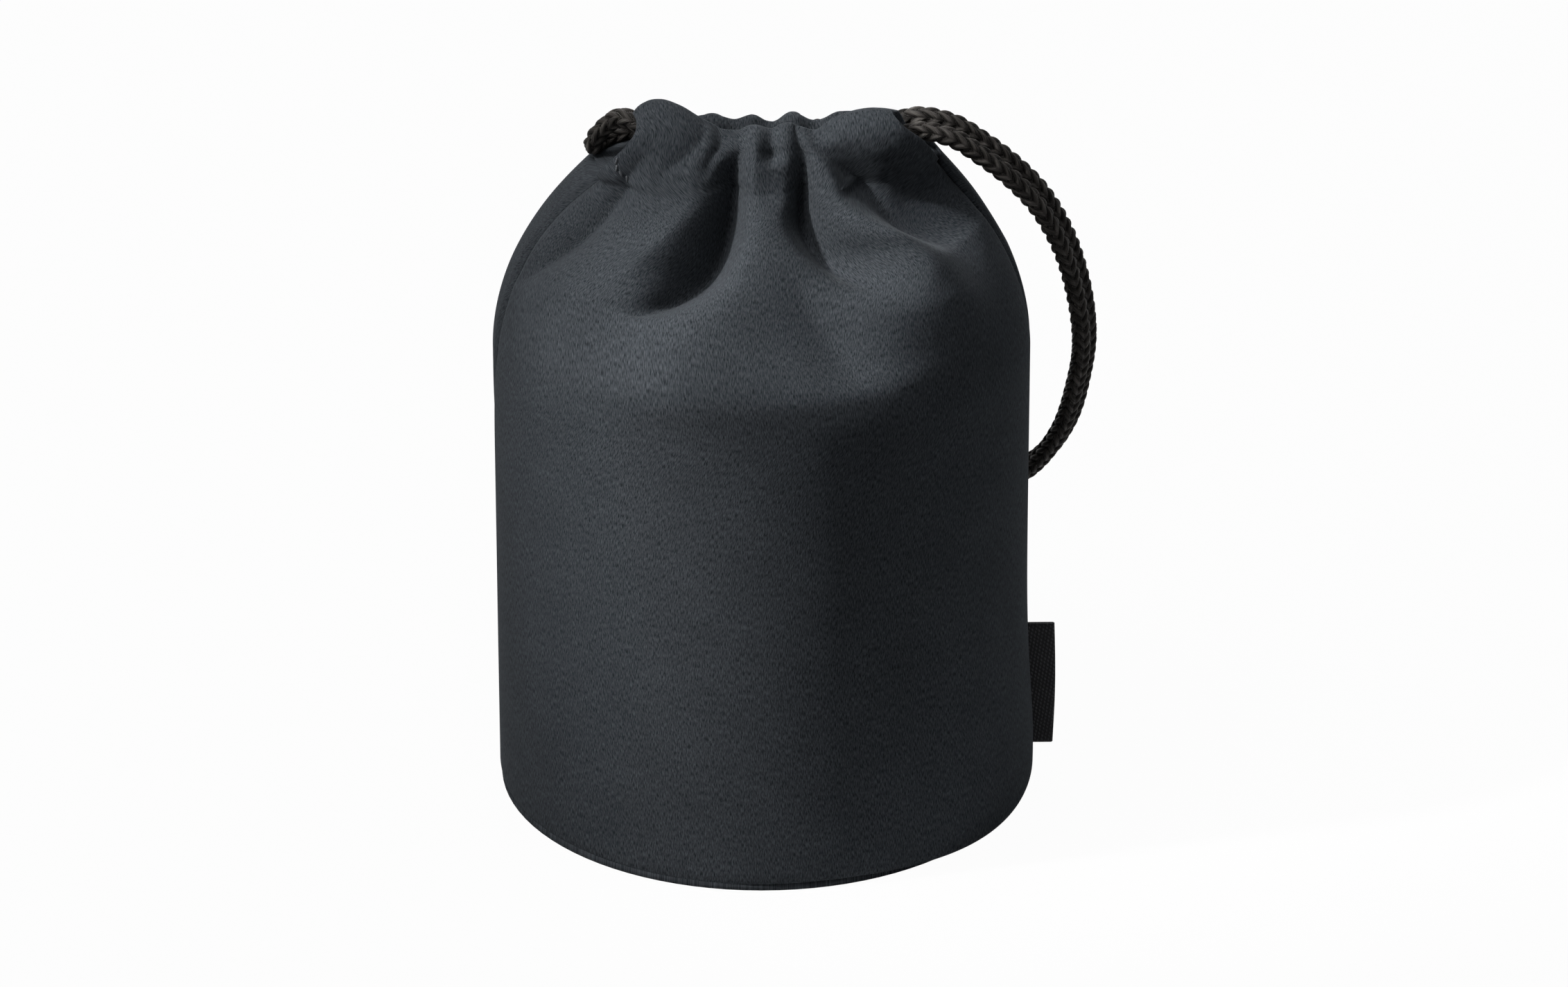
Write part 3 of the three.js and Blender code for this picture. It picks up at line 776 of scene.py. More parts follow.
BACK_LIP = [
    (14.0, 0.0, 29.5, 32.5, 0.0, 0.0),
    (13.0, 0.16, 27.4, 31.0, 0.3, 0.2),
    (12.0, 0.36, 24.4, 28.8, 0.6, 0.5),
    (10.8, 0.6, 21.8, 26.6, 0.8, 0.74),
    (8.9, 0.82, 20.4, 24.8, 0.88, 0.86),
    (6.8, 0.95, 20.0, 23.6, 0.9, 0.9),
    (5.2, 1.0, 20.0, 23.4, 0.9, 0.9),
    (4.0, 0.95, 20.0, 23.6, 0.9, 0.9),
    (3.0, 0.8, 20.0, 24.0, 0.9, 0.88),
    (2.4, 0.5, 20.4, 25.0, 0.88, 0.86),
    (2.6, 0.12, 21.0, 27.0, 0.8, 0.8),
]
# Height of the top edge along each lip
FRONT_RIM = [
    (-23, 129.6), (-22, 131.2), (-20, 132.6), (-17.5, 133.0), (-14.4, 132.2), (-11.3, 130.8),
    (-8.2, 129.6), (-6, 129.0), (-2.5, 129.0), (1.3, 128.6), (4, 129.4), (5.6, 129.8), (8.6, 128.8),
    (12.2, 130.2), (16.4, 131.4), (20.8, 131.6), (23.8, 130.8),
]
BACK_RIM = [
    (-20, 126.0), (-16, 126.6), (-12.2, 126.8), (-8.5, 126.7), (-4.8, 126.3), (-1.1, 126.8),
    (2.6, 125.5), (6.3, 126.8), (10, 126), (13.7, 127.4), (17.4, 127.8), (23.6, 127),
]
# Height that the section's shares are measured with
SECTION_HEIGHT = 11


def section_of(lip, steps):
    """The casing's section at even steps from the stitches over the top and down inside."""
    table = np.array(lip)
    reach = length_along(table[:, :2] * (1, SECTION_HEIGHT))
    even = np.linspace(0, reach[-1], steps + 1)[1:]
    return [through(np.column_stack((reach, table[:, k])), even) for k in range(table.shape[1])]


print("casings of", len(FRONT_LIP), "and", len(BACK_LIP), "steps")

# %% [markdown]
# ## One plain panel
#
# A panel is a grid of points, with rows from the foot up to the stitches and over the lip, and columns
# from seam to seam. Two loose halves could be modelled and joined, but one grid keeps the cloth whole,
# so that it bends at the stitches and its folds run on into the casing.

# %% Plain panel
def panel_body(side):
    """The panel from the foot up to the stitches, and how far round the pouch each point is."""
    curl = np.linspace(0, np.pi / 2, FOOT_ROWS, endpoint=False)
    heights = np.concatenate((
        FOOT_LIFT + FOOT_HEIGHT * (1 - np.cos(curl)),
        np.linspace(FOOT_LIFT + FOOT_HEIGHT, SHOULDER_Z, WALL_ROWS, endpoint=False),
        np.linspace(SHOULDER_Z, STITCH_Z, SHOULDER_ROWS),
    ))
    radius = np.full(len(heights), BODY_RADIUS)
    radius[:FOOT_ROWS] -= FOOT_CURL * (1 - np.sin(curl))
    lead = through(SEAM_LEAD, heights)[:, None]
    column = np.linspace(0, 1, COLUMNS)[None, :]
    v = lead + (1 - lead) * column if side == "front" else 1 + (1 + lead) * column
    wall_x, wall_y = wall_plan(v)
    neck_x, neck_y = neck_plan(v)
    t = np.clip((heights - SHOULDER_Z) / (STITCH_Z - SHOULDER_Z), 0, 1)[:, None]
    drawn = t**SIDE_EASE
    x = wall_x * radius[:, None] * (1 - drawn) + neck_x * drawn
    start = np.full(v.shape, FACE_SHOULDER_Z)
    if side == "front":
        start = start + through(SHOULDER_RISE, v)
    s = np.clip((heights[:, None] - start) / (STITCH_Z - start), 0, 1)
    depth = s**FACE_EASE * (FACE_EASE - (FACE_EASE - 1) * s)
    y = wall_y * radius[:, None] * (1 - depth) + neck_y * depth
    return np.stack((x, y, np.broadcast_to(heights[:, None], x.shape)), axis=-1), v


def plain_panel(side, lip, rim):
    """One panel before its folds, how far round and up the lip its points are, and which are inside."""
    body, v = panel_body(side)
    out, share, left, right, left_facing, right_facing = section_of(lip, LIP_ROWS)
    neck_x, neck_y = body[-1, :, 0], body[-1, :, 1]
    outward = -1 if side == "front" else 1
    end_turn = outward * neck_y / NECK_RADIUS
    start_left, start_right = -neck_x.min(), neck_x.max()
    stretch = np.where(neck_x < 0, left[:, None] / start_left, right[:, None] / start_right)
    x = neck_x[None, :] * stretch
    facing = np.where(neck_x < 0, left_facing[:, None], right_facing[:, None])
    turned = end_turn[None, :] + (1 - end_turn[None, :]) * facing
    crest = np.argmax(share)
    top = through(rim, x[crest])[None, :]
    z = STITCH_Z + (top - STITCH_Z) * share[:, None]
    leaned = EAR_LEAN * np.maximum(top - EAR_FROM_Z, 0) * share[:, None] ** 2
    y = outward * (out[:, None] * turned - leaned)
    grid = np.concatenate((body, np.stack((x, y, z), axis=-1)))
    v = np.concatenate((v, np.broadcast_to(v[-1:], (LIP_ROWS, COLUMNS))))
    u = v if side == "front" else 2 - v
    share = np.concatenate((np.zeros(BODY_ROWS), share))
    inside = np.arange(len(grid)) > BODY_ROWS + crest
    return grid, u, share, inside


def unit(vectors):
    """Vectors of length one."""
    return vectors / np.maximum(np.linalg.norm(vectors, axis=-1, keepdims=True), TINY)


def facing_out(grid):
    """Direction square to the surface at each point, pointing out of the pouch."""
    across = np.gradient(grid, axis=1)
    upward = np.gradient(grid, axis=0)
    return unit(np.cross(across, upward))


print("panel rows:", BODY_ROWS + LIP_ROWS + HEM_ROWS, "columns:", COLUMNS)

# %% [markdown]
# ## The folds
#
# Where the cord draws the cloth in, the spare width stands in a few deep folds that fan out and fade
# on the shoulder. Each fold is a short list of points picked on the photo: its height, how far round it
# is, how deep, and how wide its left and right flanks are. A sharp flank on one side and a soft one on
# the other makes the cloth look as if it laps over. Small dents and swells finish the surface.

# %% Folds of the front
# Height, share of the way from the left seam to the right, depth, width of the left and right flanks
FRONT_VALLEYS = [
    # Deep fold left of the middle
    [
        (104, 0.31, 0, 3.4, 9), (105.6, 0.33, 3.4, 2.6, 9), (107.6, 0.356, 7, 3.2, 8),
        (110, 0.386, 9.6, 4.6, 6), (112.2, 0.408, 10.8, 4.4, 4), (114.4, 0.422, 10.8, 4, 3),
        (116.5, 0.43, 9.8, 3.6, 2.4), (118.6, 0.431, 7.8, 3.2, 2), (121, 0.428, 5.8, 2.8, 1.7),
        (125, 0.427, 4.6, 2.4, 1.4), (129, 0.425, 3.4, 2.8, 1.2), (133, 0.422, 2, 2.4, 1.2),
    ],
    # Deep fold right of the middle
    [
        (105, 0.735, 0, 7, 9), (107.8, 0.695, 2.4, 6, 9), (110.2, 0.655, 5, 4.6, 9),
        (112.4, 0.617, 7.6, 3.6, 8), (114.2, 0.588, 9, 2.6, 5), (116, 0.57, 9.2, 2, 3.6),
        (118, 0.57, 7.6, 1.6, 2.6), (119.5, 0.574, 6, 1.5, 2.2), (122, 0.582, 4.6, 1.4, 1.8),
        (125, 0.59, 3.8, 1.4, 1.6), (128, 0.596, 3, 1.4, 1.5), (133, 0.599, 2, 1.4, 1.4),
    ],
    # Fold at the right, which laps over
    [
        (110, 0.89, 0, 4, 8), (112.2, 0.835, 2.4, 3, 8), (114.6, 0.78, 5, 2.6, 9),
        (117, 0.733, 7.2, 2.2, 10), (119, 0.708, 8, 1.9, 9), (121, 0.696, 7, 1.7, 8),
        (124.5, 0.676, 5, 1.6, 7), (128, 0.662, 3, 1.5, 5), (133, 0.66, 1, 1.5, 2.6),
    ],
    # Wide soft hollow across the shoulder
    [
        (84, 0.64, 0, 15, 18), (90, 0.64, 0.3, 15, 18), (95, 0.635, 1.8, 15, 18),
        (100, 0.625, 4.6, 14, 16), (104.5, 0.6, 5.2, 11, 13), (109, 0.56, 2.6, 7, 10),
        (112, 0.55, 0, 6, 9),
    ],
    # Shallow fold beside the left seam
    [
        (100, 0.068, 0, 3, 4), (105.5, 0.1, 1.8, 3, 4), (110, 0.137, 2.8, 3.2, 3.6),
        (114, 0.163, 3, 3.2, 3.4), (118, 0.178, 2.6, 3, 3), (122, 0.187, 1.4, 2.6, 2.6),
        (126, 0.195, 0.4, 2.6, 2.6), (130, 0.2, 0, 2.6, 2.6),
    ],
    # Small creases of the casing, from left to right
    [
        (121, 0.25, 0, 2, 2), (125, 0.29, 0.7, 2.2, 2), (128.5, 0.322, 1.1, 2.2, 1.8),
        (132, 0.334, 1.2, 2, 1.6), (136, 0.34, 1, 2, 1.6),
    ],
    # Second crease
    [
        (121, 0.352, 0, 1.8, 1.6), (125.5, 0.362, 1.2, 1.6, 1.4), (128.5, 0.378, 2, 1.4, 1.3),
        (133, 0.386, 2, 1.4, 1.2),
    ],
    # Third crease
    [
        (123.5, 0.51, 0, 1.3, 1.3), (126, 0.514, 2.6, 1.6, 1.6), (128, 0.519, 1.8, 1.2, 1.2),
        (133, 0.516, 1.6, 1.1, 1.1),
    ],
    # Fourth crease
    [
        (123, 0.61, 0, 1.2, 1.2), (128, 0.61, 1.2, 1.2, 1.2), (133, 0.612, 1.4, 1.2, 1.2),
    ],
    # Fifth crease
    [
        (123, 0.645, 0, 1.2, 1.2), (128, 0.648, 1.2, 1.2, 1.2), (133, 0.65, 1.2, 1.2, 1.2),
    ],
]
FRONT_RIDGES = [
    # Ridge between the two deep folds
    [
        (103.4, 0.41, 0, 8, 8), (107, 0.44, 1.2, 7, 7), (110.2, 0.458, 1.8, 6, 6),
        (114.7, 0.476, 2, 5, 4.5), (118.3, 0.468, 1.8, 3.8, 3.5), (123, 0.468, 1.4, 3.2, 3),
        (129, 0.472, 0.9, 2.8, 2.6), (133, 0.472, 0.6, 2.8, 2.6),
    ],
    # Ridge that runs to the right fold
    [
        (105, 0.73, 0, 9, 8), (109.4, 0.765, 1.6, 8, 6), (113.6, 0.745, 2.4, 7, 3),
        (115.8, 0.712, 2.8, 6, 2.2), (118.3, 0.674, 2.6, 5, 2), (123, 0.654, 2, 4, 2),
        (129, 0.642, 1.2, 3, 2), (133, 0.638, 0.6, 3, 2),
    ],
    # Ridge left of the deep folds
    [
        (103, 0.24, 0, 8, 6), (107, 0.275, 1.2, 8, 5), (110.6, 0.3, 2, 8, 4.5),
        (113.6, 0.322, 2.2, 8, 4), (117.3, 0.336, 1.8, 7, 4), (123, 0.335, 0.8, 5, 4),
        (130, 0.335, 0, 4, 4),
    ],
]
# Share of the way round, height, how far the swell stands out, and its size
FRONT_SWELLS = [
    (0.4, 103, 3, 10), (0.69, 106, 1.8, 8), (0.79, 107.5, 3, 9), (0.2, 103, 0.8, 12),
    (0.86, 115.5, -5.5, 9), (0.28, 60, -0.5, 24), (0.6, 40, 0.5, 28), (0.8, 4, 2.2, 24),
    (0.27, 2, -0.3, 20), (1, 6, 1, 17),
]
print(len(FRONT_VALLEYS), "folds,", len(FRONT_RIDGES), "ridges and", len(FRONT_SWELLS), "swells in front")

# %% [markdown]
# ## The back's folds
#
# The back isn't seen in the photo. The same cord gathers the same width of cloth there, so it gets folds
# of the same kind and depth, in other places. A mirrored front would be quicker, but it would look copied.

# %% Folds of the back
BACK_VALLEYS = [
    # Five folds, from the left seam's side to the right one's
    [
        (98, 0.17, 0, 8, 8), (106, 0.19, 3, 6, 6), (113, 0.23, 5, 4, 3), (120, 0.25, 4.2, 2.6, 2),
        (131, 0.26, 1.6, 2, 1.6),
    ],
    # Second fold
    [
        (95, 0.33, 0, 8, 9), (104, 0.345, 2.8, 6, 7), (112, 0.375, 6, 2.6, 5), (120, 0.39, 4.6, 2, 3),
        (131, 0.4, 1.8, 1.8, 2),
    ],
    # Third fold
    [
        (99, 0.53, 0, 9, 8), (107, 0.52, 3.4, 7, 4), (113, 0.51, 6.2, 5, 2.4),
        (120, 0.505, 4.8, 3, 1.8), (131, 0.5, 1.6, 2, 1.6),
    ],
    # Fourth fold
    [
        (96, 0.7, 0, 9, 8), (105, 0.68, 3, 7, 5), (113, 0.65, 5.6, 4, 3), (120, 0.64, 4.4, 2.6, 2.2),
        (131, 0.635, 1.6, 2, 1.8),
    ],
    # Fifth fold
    [
        (101, 0.87, 0, 7, 7), (108, 0.84, 2.4, 5, 6), (114, 0.8, 4.2, 3, 4), (120, 0.78, 3.6, 2.4, 2.4),
        (131, 0.77, 1.4, 2, 2),
    ],
]
BACK_RIDGES = [
    # Ridge left of the middle
    [
        (100, 0.44, 0, 6, 6), (110, 0.445, 1.6, 4, 4), (120, 0.45, 1.4, 3, 3), (131, 0.45, 0.8, 3, 3),
    ],
    # Ridge right of the middle
    [
        (100, 0.6, 0, 6, 6), (110, 0.585, 1.5, 4, 4), (120, 0.575, 1.3, 3, 3), (131, 0.57, 0.8, 3, 3),
    ],
]
BACK_SWELLS = [
    (0.26, 98, 1.2, 11), (0.61, 99, 1.2, 11), (0.8, 97, 0.8, 10), (0.35, 55, -0.6, 26), (0.7, 35, 0.5, 24),
    (1.0, 9, 1.0, 15),
]
print(len(BACK_VALLEYS), "folds,", len(BACK_RIDGES), "ridges and", len(BACK_SWELLS), "swells behind")

# %% [markdown]
# ## How a fold moves the cloth
#
# A fold pushes the cloth in, square to its surface, most along its own line and less to both sides. It
# could be sculpted, but a formula can be changed one number at a time. Near the cord a fold can't go
# deeper than the cord lets it, and at the foot and the stitches it pushes level only.

# %% Fold helpers
FOLD_SHARPNESS = 1.45
SMOOTH_ROWS = 3
# Part of the foot's height that folds push level only
FOOT_LEVEL = 0.5
SEAM_GROOVE = 0.6
SEAM_WIDTH = 1.1
# How deep a fold can go before it meets the cord, by the height above the stitches
LIP_HEIGHT = 11.5
FOLD_GIVE = [(-9, 30), (-3, 16), (0, 10), (1.7, 7.2), (4, 5.4), (5.8, 4.6), (8, 4.4), (LIP_HEIGHT, 4.8)]


def fold_field(folds, u, z, span):
    """Depth of a list of folds at every point of a panel."""
    field = np.zeros_like(z)
    for fold in folds:
        table = np.array(fold)
        place, depth, left, right = [through(table[:, (0, k)], z) for k in (1, 2, 3, 4)]
        away = (u - place) * span
        width = np.where(away < 0, left, right)
        field += depth * np.exp(-(np.abs(away / width) ** FOLD_SHARPNESS))
    return field


def swell_field(swells, u, z, span):
    """Height of soft round swells and dents."""
    field = np.zeros_like(z)
    for place, level, height, size in swells:
        field += height * np.exp(-(((u - place) * span) ** 2 + (z - level) ** 2) / size**2)
    return field


def seam_field(u, first, last, span):
    """Grooves where the panel's two edges roll in to the seams."""
    near = np.minimum(u - first, last - u) * span
    return SEAM_GROOVE * np.exp(-((np.maximum(near, 0) / SEAM_WIDTH) ** 2))


def smoothed(directions, rows):
    """Directions averaged over the rows next to each, so that folds cross a bend in the form evenly."""
    padded = np.pad(directions, ((rows, rows), (0, 0), (0, 0)), mode="edge")
    total = sum(padded[k:k + len(directions)] for k in range(2 * rows + 1))
    return total / np.linalg.norm(total, axis=-1, keepdims=True)


def upright_share(z, share, inside):
    """How far folds may push up or down: freely on the shoulder, not at the foot and the stitches."""
    rise = np.clip((z - FACE_SHOULDER_Z) / (STITCH_Z - FACE_SHOULDER_Z), 0, 1)
    off_floor = np.clip((z - FOOT_LIFT) / FOOT_HEIGHT - FOOT_LEVEL, 0, 1)
    casing = np.where(inside, 1, np.clip(2 * share, 0, 1))[:, None]
    return np.where(share[:, None] > 0, casing, (1 - rise**3) * off_floor)


print("a fold may go", FOLD_GIVE[0][1], "mm deep on the shoulder and", FOLD_GIVE[-1][1], "mm at the cord")

# %% [markdown]
# ## Laying the folds on a panel
#
# The folds, ridges and swells are added up and move the plain panel. Then the hem is drawn back to the
# stitches inside. The nap has to run along the cloth and not along the folds, so the distance along the
# cloth is measured on the finished grid.

# %% Folded panel
# From which share of the lip's height folds flatten, what they lose at the crest and keep inside
CREST_FROM = 0.72
CREST_LOSS = 0.4
INSIDE_FOLDS = 0.3
SEAM_GROOVE_END = 0.05
HEM_CLEAR = 0.4
# The base's edge shows under the wall at the lower right, where the wall's foot is lifted
FOOT_GAP = 0.7
FOOT_GAP_AT = 0.6
FOOT_GAP_WIDTH = 0.13
FOOT_GAP_HEIGHT = 2.5


def folded_panel(side, lip, rim, valleys, ridges, swells):
    """Points of one finished panel and its measure along the cloth."""
    grid, u, share, inside = plain_panel(side, lip, rim)
    z = grid[..., 2]
    steps = np.linalg.norm(np.diff(grid, axis=1), axis=-1)
    around = np.abs(u[:, :1] - u[:, -1:])
    span = steps.sum(axis=1, keepdims=True) / around
    first = u.min(axis=1, keepdims=True)
    last = u.max(axis=1, keepdims=True)
    field = swell_field(swells, u, z, span) + fold_field(ridges, u, z, span)
    field = field - fold_field(valleys, u, z, span)
    above = np.where(share[:, None] > 0, LIP_HEIGHT * share[:, None], z - STITCH_Z)
    give = np.interp(above, *np.array(FOLD_GIVE).T)
    field = np.where(field < 0, give * np.tanh(field / give), field)
    over = np.clip((share[:, None] - CREST_FROM) / (1 - CREST_FROM), 0, 1)
    field *= np.where(inside[:, None], INSIDE_FOLDS, 1 - CREST_LOSS * over)
    field -= np.where(share[:, None] > SEAM_GROOVE_END, 0, seam_field(u, first, last, span))
    square = facing_out(grid)
    square[..., 2] *= upright_share(z, share, inside)
    square = smoothed(square, SMOOTH_ROWS)
    grid = grid + square * field[..., None]
    if side == "front":
        near = ((u - FOOT_GAP_AT) / FOOT_GAP_WIDTH) ** 2 + (z / FOOT_GAP_HEIGHT) ** 2
        grid[..., 2] += FOOT_GAP * np.exp(-near)

    last_row = BODY_ROWS - 1
    hem = grid[last_row] - square[last_row] * (CLOTH + HEM_CLEAR)
    fade = np.linspace(0, 1, HEM_ROWS + 1)[1:, None, None]
    grid = np.concatenate((grid, grid[-1:] * (1 - fade) + hem[None] * fade))
    middle = COLUMNS // 2
    steps = np.linalg.norm(np.diff(grid, axis=1, prepend=grid[:, :1]), axis=-1)
    sideways = np.cumsum(steps, axis=1)
    sideways = sideways - sideways[:, middle:middle + 1]
    upward = np.broadcast_to(length_along(grid[:, middle])[:, None], sideways.shape)
    return grid, np.stack((sideways, upward), axis=-1)


print("folds flatten from", CREST_FROM, "of the lip's height")

# %% [markdown]
# ## The two panels
#
# Each panel becomes a sheet with the cloth's thickness on its inner side. Panel and casing could be two
# pieces, but on the real pouch they are one cut of cloth. So one piece stands for both.

# %% Panels
def lay_measure(piece, measure):
    """Writes each point's place on the flat cloth, in metres, as a UV map for the nap."""
    layer = piece.data.uv_layers.new(name="cloth")
    corners = np.empty(len(piece.data.loops), int)
    piece.data.loops.foreach_get("vertex_index", corners)
    flat = (measure.reshape(-1, 2) * MM)[corners]
    layer.data.foreach_set("uv", flat.astype(np.float32).ravel())


def thicken(piece, thickness):
    """Gives a sheet its thickness, on the side away from its face."""
    bpy.ops.object.select_all(action="DESELECT")
    bpy.context.view_layer.objects.active = piece
    piece.select_set(True)
    wall = piece.modifiers.new("cloth", "SOLIDIFY")
    wall.thickness = thickness * MM
    wall.offset = -1
    bpy.ops.object.modifier_apply(modifier=wall.name)
    return piece


PANELS = {
    "front": (FRONT_LIP, FRONT_RIM, FRONT_VALLEYS, FRONT_RIDGES, FRONT_SWELLS),
    "back": (BACK_LIP, BACK_RIM, BACK_VALLEYS, BACK_RIDGES, BACK_SWELLS),
}


def bend_at_stitches(piece):
    """Bakes a piece's place into its points."""
    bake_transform(piece)


panel_points = {}
for side_name, shape in PANELS.items():
    grid, measure = folded_panel(side_name, *shape)
    panel_points[side_name] = grid
    shell = grid_piece(side_name + "_suede_panel", grid)
    lay_measure(shell, measure)
    thicken(shell, CLOTH)
    dress(shell, suede_finish, "suede", side_name + "_panel", side_name + "_casing")
    bend_at_stitches(shell)
    print(shell.name, len(shell.data.polygons), "faces")

# %% [markdown]
# ## Finishes for the small and hidden pieces
#
# The label is a black twill ribbon, the tapes over the raw edges are a plain woven binding, the lining
# is a thin tricot and the pad is soft foam. Each could have its own unwrapped pattern, but they are small
# and mostly hidden. So all are patterns at about their real thread size, worked out from the place on
# the object.

# %% Finishes of ribbon, tape, lining, foam and thread
TWILL = (math.radians(52), math.radians(-8))
PLAIN_WEAVE = (0.0, math.radians(90))
WEAVE_SPECULAR = 0.12
WEAVE_SHEEN = (0.7, 0.72, 0.76, 1)
WEAR_SIZE = 0.004
WEAVE_LEAST = 0.1
GRAIN_SPECULAR = 0.25


def woven_finish(name, dark, light, pitch, turns, roughness, sheen):
    """A weave: two sets of ribs that cross, each turned by its own angle."""
    finish, tree, shader = start_finish(name, roughness, WEAVE_SPECULAR, sheen, WEAVE_SHEEN)
    place = add_node(tree, "ShaderNodeTexCoord").outputs["Object"]
    ribs = []
    for angle in turns:
        feeds = {"Vector": place, "Angle": angle}
        turned = add_node(tree, "ShaderNodeVectorRotate", feeds, rotation_type="Y_AXIS")
        wave = add_node(tree, "ShaderNodeTexWave", {
            "Vector": scale_space(tree, turned.outputs["Vector"], (pitch, pitch, pitch)),
            "Scale": 0.3,
            "Distortion": 0.6,
            "Detail": 1.0,
            "Detail Scale": 3.0,
        })
        ribs.append(wave.outputs["Fac"])
    weave = add_node(tree, "ShaderNodeMath", operation="MULTIPLY")
    tree.links.new(ribs[0], weave.inputs[0])
    tree.links.new(ribs[1], weave.inputs[1])
    wear = add_node(tree, "ShaderNodeTexNoise", {
        "Vector": scale_space(tree, place, (WEAR_SIZE, WEAR_SIZE, WEAR_SIZE)), "Scale": 1.0, "Detail": 3.0,
    })
    tone = add_node(tree, "ShaderNodeMath", operation="MULTIPLY_ADD")
    tree.links.new(weave.outputs[0], tone.inputs[0])
    tree.links.new(wear.outputs["Fac"], tone.inputs[1])
    tone.inputs[2].default_value = WEAVE_LEAST
    tree.links.new(blend_colours(tree, tone.outputs[0], dark, light), shader.inputs["Base Color"])
    add_bump(tree, shader, weave.outputs[0], strength=0.7, depth=0.00016)
    return finish


def grainy_finish(name, dark, light, grain, roughness, depth):
    """A surface of small cells or knots."""
    finish, tree, shader = start_finish(name, roughness, GRAIN_SPECULAR)
    place = add_node(tree, "ShaderNodeTexCoord").outputs["Object"]
    cells = add_node(tree, "ShaderNodeTexVoronoi", {
        "Vector": scale_space(tree, place, (grain, grain, grain)), "Scale": 1.0, "Randomness": 0.9,
    })
    tree.links.new(blend_colours(tree, cells.outputs["Distance"], dark, light), shader.inputs["Base Color"])
    add_bump(tree, shader, cells.outputs["Distance"], strength=0.6, depth=depth)
    return finish


label_finish = woven_finish(
    "black_twill_ribbon",
    dark=(0.006, 0.006, 0.0066),
    light=(0.1, 0.1, 0.107),
    pitch=0.0006,
    turns=TWILL,
    roughness=0.7,
    sheen=0.06,
)
tape_finish = woven_finish(
    "binding_tape",
    dark=(0.006, 0.0065, 0.007),
    light=(0.03, 0.032, 0.036),
    pitch=0.0007,
    turns=PLAIN_WEAVE,
    roughness=0.85,
    sheen=0.1,
)
lining_finish = woven_finish(
    "tricot_lining",
    dark=(0.01, 0.011, 0.013),
    light=(0.05, 0.054, 0.06),
    pitch=0.0006,
    turns=PLAIN_WEAVE,
    roughness=0.8,
    sheen=0.2,
)
foam_finish = grainy_finish(
    "grey_foam",
    dark=(0.06, 0.064, 0.07),
    light=(0.16, 0.165, 0.175),
    grain=0.0009,
    roughness=1.0,
    depth=0.0003,
)
thread_finish = grainy_finish(
    "sewing_thread",
    dark=(0.03, 0.033, 0.037),
    light=(0.1, 0.106, 0.115),
    grain=0.00022,
    roughness=0.6,
    depth=0.00005,
)
for finish in (label_finish, tape_finish, lining_finish, foam_finish, thread_finish):
    print("finish:", finish.name)

# %% [markdown]
# ## The base
#
# The round base is a suede disc sewn to the foot of the wall. It could be a plain drum, but its rim turns
# up a little into the seam. So it starts as a circle, and rings are inset in edit mode, close together
# near the rim, so that the face can bow and the rim can lift.

# %% Base
BASE_RADIUS = 47.1
RING_STEPS = 9
RING_INSET = 4.4
RIM_RINGS = 3
RIM_RING_SHARE = 0.25
RIM_FROM = 0.93
DISC_SIDES = 96


def ringed_disc(name, radius, level, bow, rim_lift):
    """A disc of rings, close together at the rim, bowed in the middle and lifted at the rim."""
    bpy.ops.object.select_all(action="DESELECT")
    bpy.ops.mesh.primitive_circle_add(vertices=DISC_SIDES, radius=radius * MM, fill_type="NGON")
    disc = bpy.context.object
    disc.name = name
    bpy.ops.object.mode_set(mode="EDIT")
    bpy.ops.mesh.select_all(action="SELECT")
    for ring in range(RING_STEPS):
        share = RIM_RING_SHARE if ring < RIM_RINGS else 1.0
        bpy.ops.mesh.inset(thickness=RING_INSET * MM * share)
    bpy.ops.object.mode_set(mode="OBJECT")
    for vertex in disc.data.vertices:
        out = math.hypot(vertex.co.x, vertex.co.y) / (radius * MM)
        lift = rim_lift * max(0, (out - RIM_FROM) / (1 - RIM_FROM)) ** 2
        vertex.co.z = (level + bow * (1 - out**2) + lift) * MM
    disc.data.shade_smooth()
    return disc


def flat_measure(piece):
    """The cloth's own measure on a flat piece: its place in plan."""
    plan = np.array([(v.co.x, v.co.y) for v in piece.data.vertices]) / MM
    for old in list(piece.data.uv_layers):
        piece.data.uv_layers.remove(old)
    lay_measure(piece, plan)


base = ringed_disc("base_suede_disc", BASE_RADIUS, level=CLOTH, bow=0.0, rim_lift=0.15)
flat_measure(base)
thicken(base, CLOTH)
dress(base, suede_finish, "suede", "base_panel")
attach(base, "pouch")
print(base.name, len(base.data.polygons), "faces")

# %% [markdown]
# ## The foam pad
#
# On the base lies a foam disc that cushions the lens. A soft body could be pressed into shape, but the
# pad lies flat, so it is a drum with rounded edges.

# %% Pad
PAD_RADIUS = 42.2
PAD_LOW = 1.5
PAD_HEIGHT = 3.0
PAD_ROUND = 0.9
PAD_ROUND_STEPS = 4
bpy.ops.object.select_all(action="DESELECT")
bpy.ops.mesh.primitive_cylinder_add(
    vertices=DISC_SIDES,
    radius=PAD_RADIUS * MM,
    depth=PAD_HEIGHT * MM,
    location=(0, 0, (PAD_LOW + PAD_HEIGHT / 2) * MM),
)
pad = bpy.context.object
pad.name = "base_foam_disc"
bpy.ops.object.transform_apply(location=True, rotation=True, scale=True)
bpy.ops.object.mode_set(mode="EDIT")
bpy.ops.mesh.select_all(action="SELECT")
bpy.ops.mesh.bevel(offset=PAD_ROUND * MM, segments=PAD_ROUND_STEPS)
bpy.ops.object.mode_set(mode="OBJECT")
pad.data.shade_smooth()
dress(pad, foam_finish, "foam", "base_pad")
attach(pad, "pouch")
print(pad.name, len(pad.data.polygons), "faces")

# %% [markdown]
# ## The lining
#
# A thin lining disc covers the pad. It is the same kind of disc as the base, so the same function makes
# it, bowed up by the foam and turned down at its rim.

